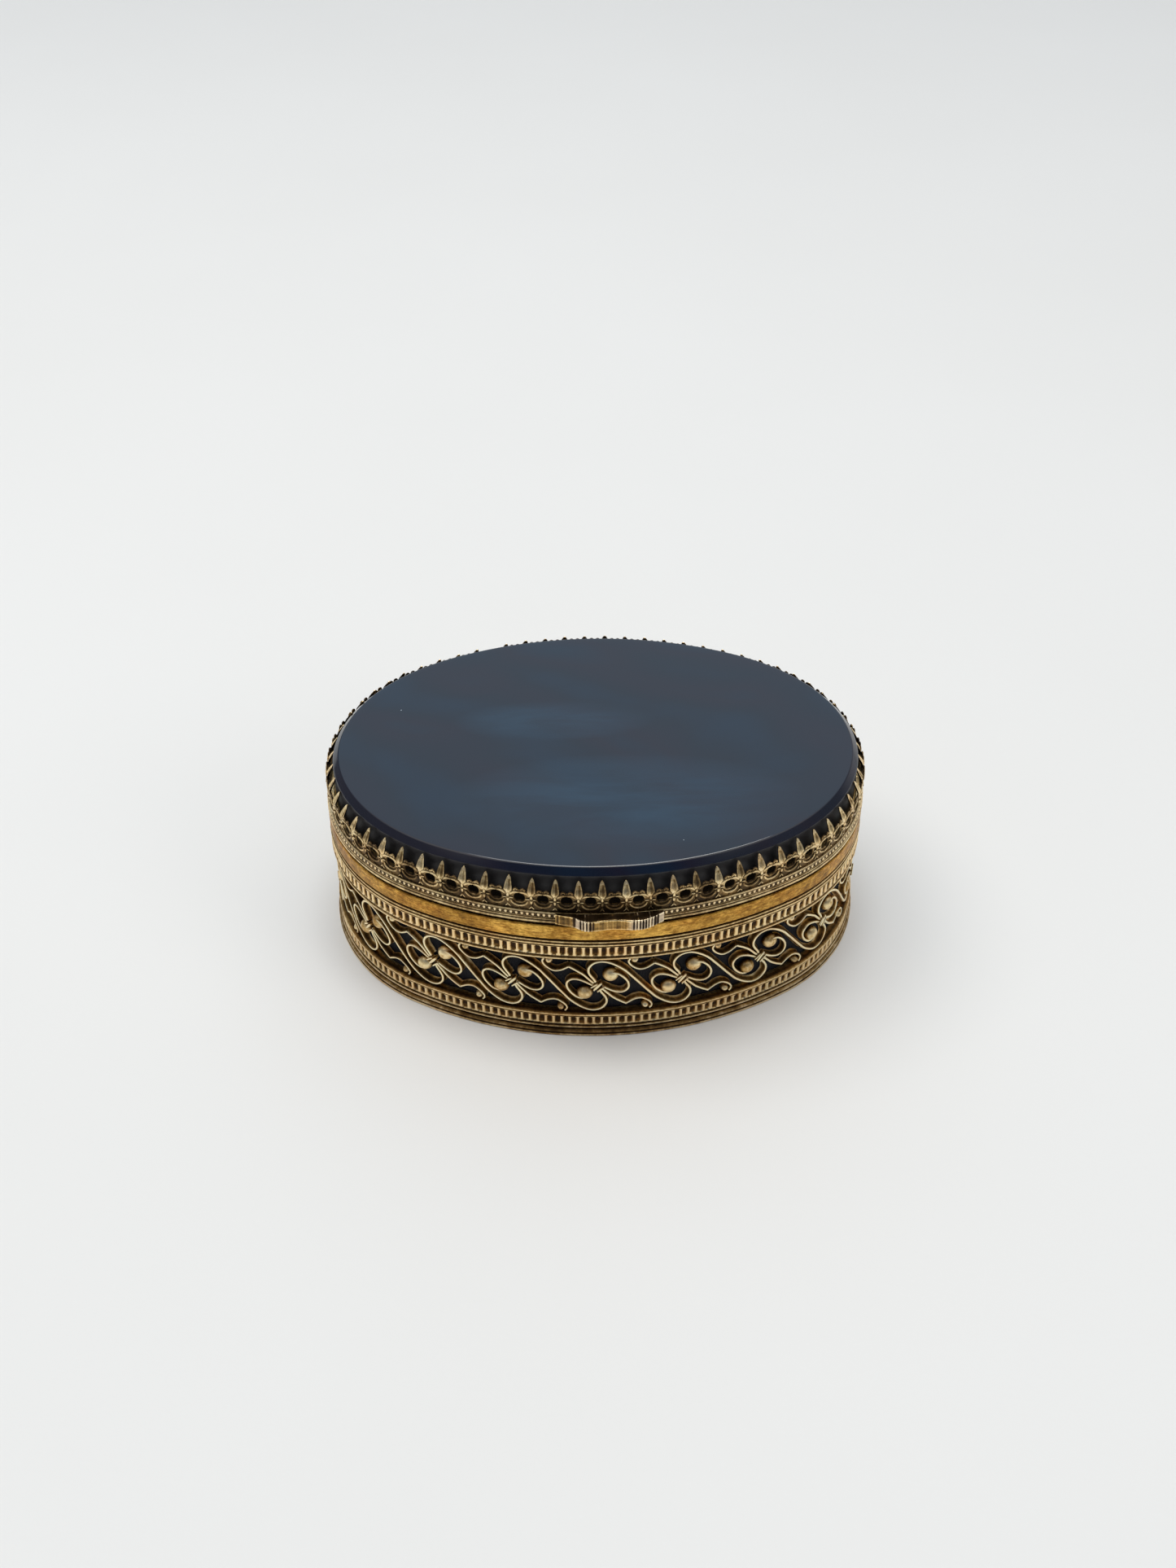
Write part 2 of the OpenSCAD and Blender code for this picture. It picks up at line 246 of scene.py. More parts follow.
# ---------------------------------------------------------------- materials
class Nodes:
    """Short calls for making the node tree of a material or a world."""

    def __init__(self, owner, output="OutputMaterial", shader="BsdfPrincipled"):
        self.owner = owner
        owner.use_nodes = True
        self.t = owner.node_tree
        self.t.nodes.clear()
        self.shader = self.new(shader)
        self.link(self.shader.outputs[0], self.new(output).inputs["Surface"])

    def new(self, kind, **values):
        n = self.t.nodes.new("ShaderNode" + kind)
        for k, v in values.items():
            setattr(n, k, v)
        return n

    def link(self, a, b):
        self.t.links.new(a, b)

    def coords(self, scale=(1, 1, 1), kind="Object"):
        m = self.new("Mapping")
        m.inputs["Scale"].default_value = scale
        self.link(self.new("TexCoord").outputs[kind], m.inputs["Vector"])
        return m.outputs[0]

    def noise(self, scale, detail=4.0, rough=0.55, vec=None, distort=0.0):
        n = self.new("TexNoise")
        n.inputs["Scale"].default_value = scale
        n.inputs["Detail"].default_value = detail
        n.inputs["Roughness"].default_value = rough
        n.inputs["Distortion"].default_value = distort
        self.link(vec if vec is not None else self.coords(), n.inputs["Vector"])
        return n.outputs[0]

    def math(self, op, a, b=0.0, c=0.0, clamp=False):
        n = self.new("Math", operation=op, use_clamp=clamp)
        for i, x in enumerate((a, b, c)):
            if isinstance(x, (int, float)):
                n.inputs[i].default_value = x
            else:
                self.link(x, n.inputs[i])
        return n.outputs[0]

    def mul(self, a, b):
        return self.math("MULTIPLY", a, b)

    def add(self, a, b, clamp=False):
        return self.math("ADD", a, b, clamp=clamp)

    def vary(self, base, noise, amount, clamp=False):
        """base, swung up and down by a noise whose middle is 0.5."""
        return self.add(base, self.mul(self.math("SUBTRACT", noise, 0.5), amount), clamp)

    def span(self, x, lo, hi, to_lo=0.0, to_hi=1.0):
        n = self.new("MapRange", clamp=True)
        self.link(x, n.inputs[0])
        for i, v in enumerate((lo, hi, to_lo, to_hi)):
            n.inputs[i + 1].default_value = v
        return n.outputs[0]

    def ramp(self, x, stops):
        n = self.new("ValToRGB")
        el = n.color_ramp.elements
        while len(el) < len(stops):
            el.new(0.5)
        for e, (pos, col) in zip(el, stops):
            e.position = pos
            e.color = (*col, 1)
        self.link(x, n.inputs[0])
        return n.outputs[0]

    def mix(self, fac, a, b, blend="MIX"):
        n = self.new("Mix", data_type="RGBA", blend_type=blend)
        for sock, x in ((n.inputs[0], fac), (n.inputs[6], a), (n.inputs[7], b)):
            if isinstance(x, (int, float)):
                sock.default_value = x
            elif isinstance(x, tuple):
                sock.default_value = (*x, 1)
            else:
                self.link(x, sock)
        return n.outputs[2]

    def attribute(self, name):
        return self.new("Attribute", attribute_name=name).outputs["Fac"]

    def set(self, **values):
        for k, v in values.items():
            sock = self.shader.inputs[k.replace("_", " ")]
            if hasattr(v, "node"):
                self.link(v, sock)
            elif isinstance(v, tuple):
                sock.default_value = (*v, 1)
            else:
                sock.default_value = v

    def bump(self, height, distance, strength=1.0, onto=None):
        n = self.new("Bump")
        n.inputs["Strength"].default_value = strength
        n.inputs["Distance"].default_value = distance
        self.link(height, n.inputs["Height"])
        if onto is not None:
            self.link(onto, n.inputs["Normal"])
        self.link(n.outputs[0], self.shader.inputs["Normal"])
        return n.outputs[0]


def gilt_nodes(name, recess, mid, bright, rough=(0.5, 0.2), bite=0.0, brushed=0.0, spots=0.3, ends=0.0,
               flat=None, grain=1.0):
    """Aged gilt brass: brown in the recesses, rubbed bright on the crests, with tarnish between. Its darkest
    stop is partly painted shade in the recesses, its palest stop a painted highlight on the crests.

    bite shifts all the wear, ends paints light towards the two ends of the oval by adding wear there (painted
    shade where it is negative), and flat gives an even wear to a mesh with no wear map. Returns the nodes and
    the colour.
    """
    m = Nodes(bpy.data.materials.new(name))
    fine, mottle, broad = m.noise(2600, 3), m.noise(900, 5, 0.6), m.noise(120, 4, 0.6)
    w = m.vary(m.attribute("wear") if flat is None else flat, mottle, spots)
    w = m.vary(m.vary(w, broad, spots * 0.9), fine, 0.34)
    w = m.add(w, bite)
    # ends: painted light on the oval's two ends, painted shade where negative
    if ends:
        split = m.new("SeparateXYZ")
        m.link(m.coords(), split.inputs[0])
        along = m.math("ABSOLUTE", split.outputs[0])
        w = m.add(w, m.mul(m.span(along, 0.008, 0.031), ends))
    w = m.add(w, 0.0, clamp=True)
    # painted light in the ramp: the deepest stop, at no wear, is partly painted shade in recesses; the palest
    # stop, whitened towards blue, is a painted highlight
    deep = tuple(0.45 * x for x in recess)
    pale = tuple(min(1.0, x * k) for x, k in zip(bright, (1.08, 1.12, 1.3)))
    low = tuple(0.35 * x + 0.65 * y for x, y in zip(mid, recess))
    col = m.ramp(w, [(0.0, deep), (0.2, recess), (0.36, low), (0.52, mid), (0.7, bright), (0.92, pale)])
    tint = m.ramp(m.noise(240, 3, vec=m.coords((1, 1, 2.5))),
                  [(0.3, (0.98, 0.79, 0.58)), (0.5, (1.0, 0.97, 0.88)), (0.7, (0.96, 1.0, 0.94))])
    col = m.mix(0.6, col, tint, "MULTIPLY")
    r = m.vary(m.span(w, 0.3, 0.85, *rough), fine, 0.2, clamp=True)
    m.set(Base_Color=col, Roughness=r, Metallic=m.span(w, 0.1, 0.45, 0.88, 1.0))
    b = m.bump(m.add(m.mul(fine, 0.35), mottle), 0.00003 * grain, 0.6)
    if brushed:
        streak = m.noise(1.0, 5, 0.7, vec=m.coords((900, 6500, 1), "UV"), distort=0.9)
        scratch = m.noise(1.0, 3, 0.7, vec=m.coords((1300, 12000, 1), "UV"), distort=0.6)
        m.bump(m.add(streak, m.mul(scratch, 0.6)), 0.00003, brushed, onto=b)
        stain = m.ramp(streak, [(0.4, (0.42, 0.3, 0.22)), (0.52, (0.95, 0.92, 0.85)),
                                (0.62, (1.15, 1.12, 0.95))])
        col = m.mix(0.85, col, stain, "MULTIPLY")
        m.set(Base_Color=col)
    return m, col


def gilt(*args, **kwargs):
    """The material alone."""
    return gilt_nodes(*args, **kwargs)[0].owner


def cut_metal():
    """The thumb piece: a painted pale silvery highlight on its two cut lobes, warm gold between them and at
    the left.
    """
    m, gold = gilt_nodes("bright_cut", (0.06, 0.033, 0.013), (0.46, 0.28, 0.09), (0.92, 0.69, 0.34),
                         rough=(0.4, 0.2), bite=-0.05, spots=0.5, grain=2.0)
    split = m.new("SeparateXYZ")
    m.link(m.coords(kind="UV"), split.inputs[0])
    along = split.outputs[0]  # from the piece's middle, in metres
    # painted highlight: pale silvery colour over the two cut lobes, where the wear and its painted glints are
    # high
    silver_highlight = m.mul(m.span(m.math("ABSOLUTE", along), 0.0018, 0.0027), m.span(along, -0.0042, -0.0037))
    silver_highlight = m.mul(silver_highlight, m.span(m.attribute("wear"), 0.25, 0.5))
    pale = m.mix(1.0, gold, (0.42, 0.40, 0.36), "SCREEN")
    m.set(Base_Color=m.mix(m.mul(silver_highlight, 0.8), gold, pale))
    return m.owner


GILT = gilt("aged_gilt", (0.080, 0.040, 0.013), (0.52, 0.31, 0.095), (0.98, 0.79, 0.46), rough=(0.56, 0.38),
            bite=0.045, spots=0.6, grain=3.2)
# ends paints light on the two ends of the oval, and painted shade where it is negative, as on the collar
BAND = gilt("band_gilt", (0.050, 0.023, 0.007), (0.38, 0.215, 0.07), (0.92, 0.69, 0.36), rough=(0.52, 0.3),
            bite=-0.035, spots=0.4, ends=0.08, grain=1.6)
FOOT = gilt("foot_gilt", (0.044, 0.020, 0.006), (0.30, 0.18, 0.065), (0.80, 0.62, 0.37), rough=(0.55, 0.34),
            bite=-0.08, spots=0.5, ends=0.2, grain=1.6)
COLLAR = gilt("collar_gilt", (0.085, 0.038, 0.012), (0.52, 0.28, 0.055), (0.95, 0.60, 0.15),
              rough=(0.5, 0.33), bite=0.09, brushed=0.8, spots=0.5, ends=-0.1, grain=2.0)
DULL = gilt("tarnished_gilt", (0.044, 0.028, 0.016), (0.30, 0.195, 0.085), (0.86, 0.66, 0.36),
            rough=(0.5, 0.24), bite=0.03, ends=0.1, spots=0.45, grain=2.0)
CUT = cut_metal()
BRASS = gilt("plain_brass", (0.09, 0.055, 0.022), (0.42, 0.28, 0.11), (0.74, 0.55, 0.27),
             rough=(0.5, 0.34), spots=0.7, flat=0.5)
HINGE = gilt("hinge_brass", (0.05, 0.026, 0.01), (0.34, 0.20, 0.065), (0.84, 0.61, 0.30), rough=(0.52, 0.3),
             bite=-0.1, spots=0.7, grain=2.0)


def stone_material():
    """Dark polished stone with cloudy bands, two pale patches and lint; its wear map marks the dull sides."""
    m = Nodes(bpy.data.materials.new("dark_agate"))
    drift = m.noise(30, 3, 0.5, vec=m.coords((1.0, 1.5, 1.0)), distort=0.8)
    bands = m.new("TexWave", wave_type="BANDS", bands_direction="DIAGONAL", wave_profile="SIN")
    bands.inputs["Scale"].default_value = 26
    bands.inputs["Distortion"].default_value = 7.0
    bands.inputs["Detail"].default_value = 4
    bands.inputs["Detail Scale"].default_value = 0.7
    m.link(m.coords((1.0, 1.6, 0.4)), bands.inputs["Vector"])
    depth = m.add(m.mul(bands.outputs["Fac"], 0.22), m.mul(drift, 0.78))
    col = m.ramp(depth, [(0.28, (0.005, 0.014, 0.030)), (0.44, (0.006, 0.009, 0.018)),
                         (0.60, (0.0095, 0.0085, 0.017)), (0.76, (0.005, 0.013, 0.027))])
    split = m.new("SeparateXYZ")
    m.link(m.coords(), split.inputs[0])
    wisp = m.noise(90, 4, 0.6, vec=m.coords((0.5, 1.6, 1.0)), distort=0.5)
    for centre, reach in (((0.003, -0.0105), (0.019, 0.0075)), ((-0.005, 0.0045), (0.011, 0.0035))):
        across, deep = (m.math("MULTIPLY_ADD", split.outputs[k], 1 / reach[k], -centre[k] / reach[k])
                        for k in (0, 1))
        far = m.add(m.mul(across, across), m.mul(deep, deep))
        patch = m.mul(m.span(far, 0.1, 1.3, 1.0, 0.0), m.span(wisp, 0.36, 0.6, 0.35, 1.0))
        col = m.mix(m.mul(patch, 0.85), col, (0.013, 0.036, 0.066))
    cells = m.new("TexVoronoi")
    cells.inputs["Scale"].default_value = 210
    m.link(m.coords(), cells.inputs["Vector"])
    pick = m.new("SeparateXYZ")
    m.link(cells.outputs["Color"], pick.inputs[0])
    speck = m.span(cells.outputs["Distance"], 0.012, 0.022, 1.0, 0.0)
    lint = m.mul(speck, m.span(pick.outputs[0], 0.90, 0.93))
    col = m.mix(lint, col, (0.35, 0.4, 0.46))
    smear = m.noise(70, 4, 0.6)
    side = m.attribute("wear")
    col = m.mix(m.mul(side, 0.85), col, (0.020, 0.0175, 0.017))
    rough = m.add(m.span(smear, 0.35, 0.75, 0.04, 0.11), m.mul(lint, 0.5))
    rough = m.add(rough, m.mul(side, 0.42), clamp=True)
    m.set(Base_Color=col, Roughness=rough, IOR=1.54)
    m.bump(m.noise(2200, 3), 0.000004, 0.2)
    return m.owner


def cloth_material(name, dark, light, pile, sheen, sheen_tint, rough=0.9):
    """Cloth with a fine nap of pile threads a metre, brushed lighter and darker in broad strokes."""
    m = Nodes(bpy.data.materials.new(name))
    nap = m.noise(pile, 3, 0.7)
    brush = m.noise(140, 3, 0.6, distort=0.8)
    col = m.ramp(m.add(m.mul(nap, 0.55), m.mul(brush, 0.45)), [(0.34, dark), (0.66, light)])
    m.set(Base_Color=col, Roughness=m.span(brush, 0.3, 0.7, rough, rough - 0.14))
    m.set(Sheen_Weight=sheen, Sheen_Roughness=0.35, Sheen_Tint=sheen_tint)
    m.bump(m.add(nap, m.mul(brush, 0.4)), 0.00012, 0.7)
    return m.owner


STONE = stone_material()
BACKING = cloth_material("dark_backing", (0.0022, 0.0028, 0.006), (0.006, 0.007, 0.013),
                         pile=5200, sheen=0.05, sheen_tint=(0.2, 0.25, 0.4))
VELVET = cloth_material("blue_velvet", (0.006, 0.009, 0.034), (0.016, 0.022, 0.075),
                        pile=6500, sheen=0.8, sheen_tint=(0.35, 0.42, 0.8))
SILK = cloth_material("padded_silk", (0.02, 0.027, 0.08), (0.04, 0.05, 0.13),
                      pile=3800, sheen=0.5, sheen_tint=(0.5, 0.55, 0.85), rough=0.55)
# the rub of a groove, dark with tarnish and painted shade, and of an edge that hands polish
GROOVE, RUBBED = -0.34, 0.22

# ---------------------------------------------------------------- rings of the base
BASE, LID = "base", "lid"
IN = -1.0  # e of the hidden backs of the foot and the fluted bands
foot_lo, foot_hi = span("foot_ring")
low_lo, low_hi = span("lower_fluted_band")
gal_lo, gal_hi = span("scroll_gallery")
up_lo, up_hi = span("upper_fluted_band")
FLUTES = 190
F_PITCH = LENGTH / FLUTES
FLUTE_SAMPLES = FLUTES * 8


def flute_relief(z0, z1, depth, shift=0.0):
    """Squarish hollows between narrow upright reeds, with rubbed reeds between; the hollows are dark with
    tarnish and painted shade, lighter in their lower half as painted light from above.
    """
    hw, mid, hh = 0.33 * F_PITCH, (z0 + z1) / 2, (z1 - z0) / 2

    def relief(s, e, z):
        cell = np.floor((s + shift) / F_PITCH)
        u = np.mod(s + shift, F_PITCH) - F_PITCH / 2 + 0.025 * np.sin(2.1 * cell)
        dz = np.maximum(np.abs(z - mid - 0.03 * np.sin(1.3 * cell)) - (hh - 0.6 * hw), 0) / 0.6
        d = np.sqrt(u * u + dz * dz) / (hw * (1 + 0.09 * np.sin(3.7 * cell)))
        front = (e > -0.45) & (z > z0 - 0.25) & (z < z1 + 0.25)
        hollow = np.clip(1 - d ** 3, 0, 1) ** 0.5
        sunk = np.where(front, hollow, 0.0)
        polish = np.where(front & (z > z0) & (z < z1), 0.24, 0.0)
        # painted light: the lower half of each hollow, which faces up, is kept lighter than its top
        painted_floor_light = 0.3 * smoothstep(0.0, -0.8, (z - mid) / hh)
        return -depth * sunk, polish * (1 - sunk) - (0.28 - painted_floor_light) * sunk
    return relief


def rows(e, z0, z1, n):
    """n profile points straight up a face."""
    return [(e, z, 0.0) for z in np.linspace(z0, z1, n)]


def open_run(points, r, n=3):
    """Part of a profile with its corners rounded, to be joined to others."""
    return rounded(points, r, n, False).tolist()


b = Build()
z0, z1 = foot_lo[2], foot_hi[2]
prof = [(IN, z0), (0.38, z0), (0.52, 0.07, 0.05), (0.53, 0.32, 0.16), (0.44, 0.42, GROOVE),
        (0.4, 0.5, GROOVE), (0.44, 0.56), (0.44, 0.76, -0.05), (0.26, 0.88, -0.15), (0.02, 0.93, GROOVE),
        (-0.12, 0.98, GROOVE), (-0.12, 1.07, GROOVE), (0.1, 1.1), (0.24, 1.2, RUBBED),
        (0.24, 1.4, 0.1), (0.1, z1 - 0.05, GROOVE), (-0.02, z1, GROOVE), (IN, z1)]
ring(b, rounded(prof, 0.06), 900, 0.022, 1.0, level=z0)
b.obj("foot_moulding", BASE, FOOT, "foot_ring", gain=1.4)

b = Build()
z0, z1 = low_lo[2], low_hi[2]
prof = open_run([(IN, z0), (0.03, z0, GROOVE), (0.09, z0 + 0.07)], 0.03, 2)
prof += rows(0.11, z0 + 0.1, z0 + 1.4, 15)
prof += open_run([(0.04, z0 + 1.43, GROOVE), (-0.05, z0 + 1.47, GROOVE), (0.1, z0 + 1.56),
                  (0.2, z0 + 1.66, RUBBED), (0.2, z0 + 1.84, 0.1), (0.1, z1 - 0.06, -0.1),
                  (-0.3, z1, GROOVE), (IN, z1)], 0.06)
ring(b, prof, FLUTE_SAMPLES, 0.012, 2.0, flute_relief(z0 + 0.14, z0 + 1.38, 0.26))
b.obj("lower_fluting", BASE, BAND, "lower_fluted_band", gain=1.4)

b = Build()
z0, z1 = up_lo[2], up_hi[2]
prof = [(IN, z0, 0.0)]
prof += open_run([(-0.3, z0 - 0.06, GROOVE), (0.08, z0 - 0.02), (0.17, z0 + 0.12, 0.26),
                  (0.16, z0 + 0.26, 0.1), (0.04, z0 + 0.37, -0.1), (-0.06, z0 + 0.42, GROOVE),
                  (-0.04, z0 + 0.5, GROOVE), (0.06, z0 + 0.56)], 0.05, 2)
prof += rows(0.1, z0 + 0.62, z0 + 2.06, 12)
prof += open_run([(0.02, z0 + 2.1, GROOVE), (-0.07, z0 + 2.15, GROOVE), (0.08, z0 + 2.22),
                  (0.14, z0 + 2.32, 0.16), (0.12, z0 + 2.48, 0.06), (0.0, z0 + 2.56, GROOVE),
                  (-0.09, z0 + 2.61, GROOVE), (0.03, z0 + 2.66, 0.0), (0.04, z0 + 2.86, 0.06),
                  (-0.08, z0 + 2.94, GROOVE), (-0.3, z0 + 2.98, GROOVE)], 0.04, 2)
prof += [(-0.3, z1 - 0.02, GROOVE), (-0.5, z1, 0.0), (IN, z1, 0.0)]
ring(b, prof, FLUTE_SAMPLES, 0.012, 3.0, flute_relief(z0 + 0.66, z0 + 2.02, 0.26, 0.3))
b.obj("upper_fluting", BASE, BAND, "upper_fluted_band", gain=1.4)

b = Build()
z0, z1 = c_lo[2], c_hi[2]
prof = [(-1.2, z0, GROOVE), (-0.02, z0, GROOVE), (0.04, z0 + 0.14), (0.055, (z0 + z1) / 2),
        (0.04, z1 - 0.2), (-0.05, z1 - 0.01, -0.1), (-1.2, z1, GROOVE)]
ring(b, rounded(prof, 0.12, 4), 900, 0.02, 4.0)
b.obj("mouth_collar", BASE, COLLAR, "rim_collar", gain=1.2)

fl_lo, fl_hi = span("inner_flange")
FLANGE_T = 0.5
b = Build()
out_e = fl_hi[0] - HALF_L
in_e = out_e - FLANGE_T
prof = [(in_e, fl_lo[2]), (out_e, fl_lo[2]), (out_e, fl_hi[2]), (in_e, fl_hi[2])]
ring(b, rounded(prof, 0.14, 4), 720, 0.006, 5.0)
b.obj("mouth_flange", BASE, HINGE, "inner_flange")

# ---------------------------------------------------------------- scroll gallery
MID_Z = (gal_lo[2] + gal_hi[2]) / 2 - 0.05
UNITS = 18
U_PITCH = LENGTH / UNITS
SCROLL_SHIFT = -0.5
CREST = -0.12
# One unit is drawn 10 long, with x along the wall and y up. Half a turn about its knot leaves it unchanged.
STRETCH = U_PITCH / 10
S_CURVE = [(-0.28, 0.70), (-0.45, 1.12), (-0.80, 1.68), (-1.03, 2.2), (-1.09, 2.65), (-1.03, 3.07),
           (-0.80, 3.52), (-0.42, 3.92), (0.12, 4.14), (0.75, 4.15), (1.4, 3.93), (2.0, 3.55), (2.7, 2.97),
           (3.3, 2.35), (3.85, 1.6), (4.4, 0.85), (5.0, 0.0)]
CURL = [(0.5, -0.08), (0.78, -0.23), (1.2, -0.53), (1.7, -0.86), (2.3, -1.12), (2.85, -1.16), (3.3, -0.93),
        (3.58, -0.5), (3.62, 0.0), (3.5, 0.5), (3.22, 1.05), (2.82, 1.55), (2.4, 1.93), (1.95, 2.1),
        (1.6, 2.1)]
BRANCH = [(-0.5, 0.5), (-0.7, 0.72), (-1.17, 1.31), (-1.72, 1.97), (-2.3, 2.48), (-2.85, 2.9),
          (-3.36, 3.25)]
BRANCH_TIP = [(-3.36, 3.25), (-3.8, 2.92), (-4.25, 2.63), (-4.85, 2.47), (-5.3, 2.56), (-5.72, 2.85),
              (-6.1, 3.22), (-6.37, 3.68), (-6.4, 4.05), (-6.2, 4.4)]
BIG_BALL, SMALL_BALL = (1.5, 1.53), (-5.68, 4.0)
BARS = [((-0.79, -0.14), (-0.03, 0.49)), ((-0.45, -0.58), (0.45, 0.62)), ((-0.03, -0.86), (0.72, -0.07))]


def ribbon(build, path, crest_w, foot_w, crest, depth, taper=0.0):
    """A strip standing on edge along an (x, y) path: narrow rounded crest outside, wider foot inside."""
    t = np.gradient(path, axis=0)
    t /= np.linalg.norm(t, axis=1)[:, None]
    side = np.stack([-t[:, 1], t[:, 0]], 1)
    n = len(path)
    size = 1 - taper * np.linspace(-1, 1, n) ** 2
    # rub across the section: high on the crest, rubbed and a painted highlight; low down the walls, painted
    # shade; back up towards the foot
    shape = [(-foot_w * 1.15, -depth, 0.0), (-foot_w, -depth * 0.86, 0.02),
             (-foot_w * 0.62, -depth * 0.66, -0.16), (-crest_w * 1.5, -depth * 0.34, -0.26),
             (-crest_w * 1.15, -0.07, -0.1), (-crest_w * 0.8, -0.012, 0.36), (0, 0.008, 0.42)]
    shape = np.array(shape + [(-a, e, rub) for a, e, rub in shape[-2::-1]])
    pts = np.zeros((n, len(shape), 3))
    for j, (a, e, _) in enumerate(shape):
        pts[:, j, ::2] = path + side * (a * size)[:, None]
        pts[:, j, 1] = crest + e
    build.grid(pts, False, True, caps=True, rub=np.broadcast_to(shape[:, 2], pts.shape[:2]))


def dome(build, x, y, r, low, high, nu, nv):
    """A raised boss: a dome on a short collar."""
    a = np.arange(nu) * 2 * math.pi / nu
    rise = high - low
    levels = [(1.0, low)] + [(math.cos(t), low + 0.25 * rise + 0.75 * rise * math.sin(t))
                             for t in np.linspace(0, math.pi / 2 * 0.97, nv)]
    pts = np.array([[(x + r * k * math.cos(t), e, y + r * k * math.sin(t)) for k, e in levels] for t in a])
    rub = np.array([-0.3, -0.24] + [0.16 * (k / (nv - 1)) - 0.04 for k in range(1, nv)])
    build.grid(pts, True, False, rub=np.broadcast_to(rub, pts.shape[:2]))
    build.cap_columns(nu, len(levels), -1)


def repeat(template, build, places, wander=0.0):
    """Copies a local template (x along the wall, outwards, up) to each arc length, none quite the same."""
    v, rub = np.concatenate(template.v), np.concatenate(template.rub)
    for i, s in enumerate(places):
        x = s + v[:, 0] + wander * math.sin(5.1 * i)
        e = v[:, 1] + wander * math.sin(3.3 * i + 1)
        z = v[:, 2] * (1 + 0.0015 * wander * math.sin(7.7 * i))
        build.add(place(x, e, z), template.f, np.stack([x * MM, z * MM], 1), rub + 0.08 * math.sin(2.9 * i))


unit = Build()
for way in (1, -1):
    ribbon(unit, way * spline(CURL, 46), 0.115, 0.22, CREST, 0.85)
    ribbon(unit, way * spline(BRANCH, 22), 0.115, 0.22, CREST, 0.85)
    ribbon(unit, way * spline(BRANCH_TIP, 34), 0.1, 0.21, CREST - 0.01, 0.85)
    dome(unit, BIG_BALL[0] * way, BIG_BALL[1] * way, 0.96, -0.95, 0.08, 22, 9)
    dome(unit, SMALL_BALL[0] * way, SMALL_BALL[1] * way, 0.48, -0.95, -0.05, 14, 6)
whole = S_CURVE + [(2 * S_CURVE[-1][0] - x, -y) for x, y in S_CURVE[-2::-1]]
ribbon(unit, spline(whole, 96), 0.12, 0.3, CREST + 0.02, 0.87)
for i, (p, q) in enumerate(BARS):
    fat = 0.15 if i == 1 else 0.1
    ribbon(unit, np.linspace(p, q, 9), fat, fat + 0.06, 0.06, 0.7, 0.45)
unit.v = [v * (STRETCH, 1, 1) + (0, 0, MID_Z) for v in unit.v]
b = Build()
repeat(unit, b, SCROLL_SHIFT + np.arange(UNITS) * U_PITCH, 0.03)
b.obj("pierced_scrolls", BASE, GILT, "scroll_gallery", gain=0.8, smooth=50)

# ---------------------------------------------------------------- rings of the lid
rim_lo, rim_hi = span("lid_rim")
b = Build()
z0, z1 = rim_lo[2], rim_hi[2]
ledge = z1 - 0.5
prof = [(-0.9, z0, GROOVE), (-0.06, z0, GROOVE), (0.05, z0 + 0.1, -0.1), (0.06, z0 + 0.3, 0.06),
        (0.0, z0 + 0.42, -0.1), (-0.06, z0 + 0.46, GROOVE), (-0.02, z0 + 0.52, -0.1), (0.0, z0 + 0.66, 0.0),
        (-0.06, z0 + 0.74, -0.2), (-0.19, z0 + 0.76, GROOVE), (-0.19, z0 + 1.56, GROOVE),
        (-0.07, z0 + 1.58, 0.04), (-0.12, z1), (-0.9, z1), (-0.9, ledge), (-1.7, ledge),
        (-1.7, ledge - 0.35), (-0.9, ledge - 0.35)]
ring(b, rounded(prof, 0.05), 720, 0.02, 6.0)
b.obj("lid_moulding", LID, DULL, "lid_rim", gain=1.6)

bd_lo, bd_hi = span("bead_strip")
BEAD_RISE = 0.3
bd_lo[2] += BEAD_RISE
bd_hi[2] += BEAD_RISE
BEADS = 288
B_PITCH = LENGTH / BEADS
BEAD_MID = (bd_lo[2] + bd_hi[2]) / 2


def bead_relief(s, e, z):
    """Half-round beads on the strip's outer face, rubbed on top and dark between."""
    u = (np.mod(s, B_PITCH) - B_PITCH / 2) / 0.17
    v = (z - BEAD_MID) / 0.27
    up = np.where(e > -0.17, np.sqrt(np.clip(1 - u * u - v * v, 0, 1)), 0)
    return 0.13 * up, 0.3 * up - 0.2 * (np.abs(z - BEAD_MID) < 0.3) * (1 - up)


b = Build()
z0, z1 = bd_lo[2], bd_hi[2]
prof = [(-0.19, z0, 0.0)] + open_run([(-0.12, z0 + 0.03), (-0.04, z0 + 0.08), (-0.06, z0 + 0.13)], 0.03, 2)
prof += rows(-0.11, z0 + 0.15, z1 - 0.15, 11)
prof += open_run([(-0.06, z1 - 0.13), (-0.04, z1 - 0.08), (-0.12, z1 - 0.03)], 0.03, 2) + [(-0.19, z1, 0.0)]
ring(b, prof, BEADS * 8, 0.012, 7.0, bead_relief)
b.obj("beaded_wire", LID, DULL, "bead_strip", gain=1.6)

# ---------------------------------------------------------------- claw gallery
cg_lo, cg_hi = span("claw_gallery")
CLAWS_ROUND = 67.5
C_PITCH = LENGTH / CLAWS_ROUND
FIRST, LAST = -28, 38  # claws numbered from the front, with a gap of 1.5 pitches where the strip's ends lap
STRIP_LO = cg_lo[2]
HOLE_Z = STRIP_LO + 1.78
HP = C_PITCH / 2


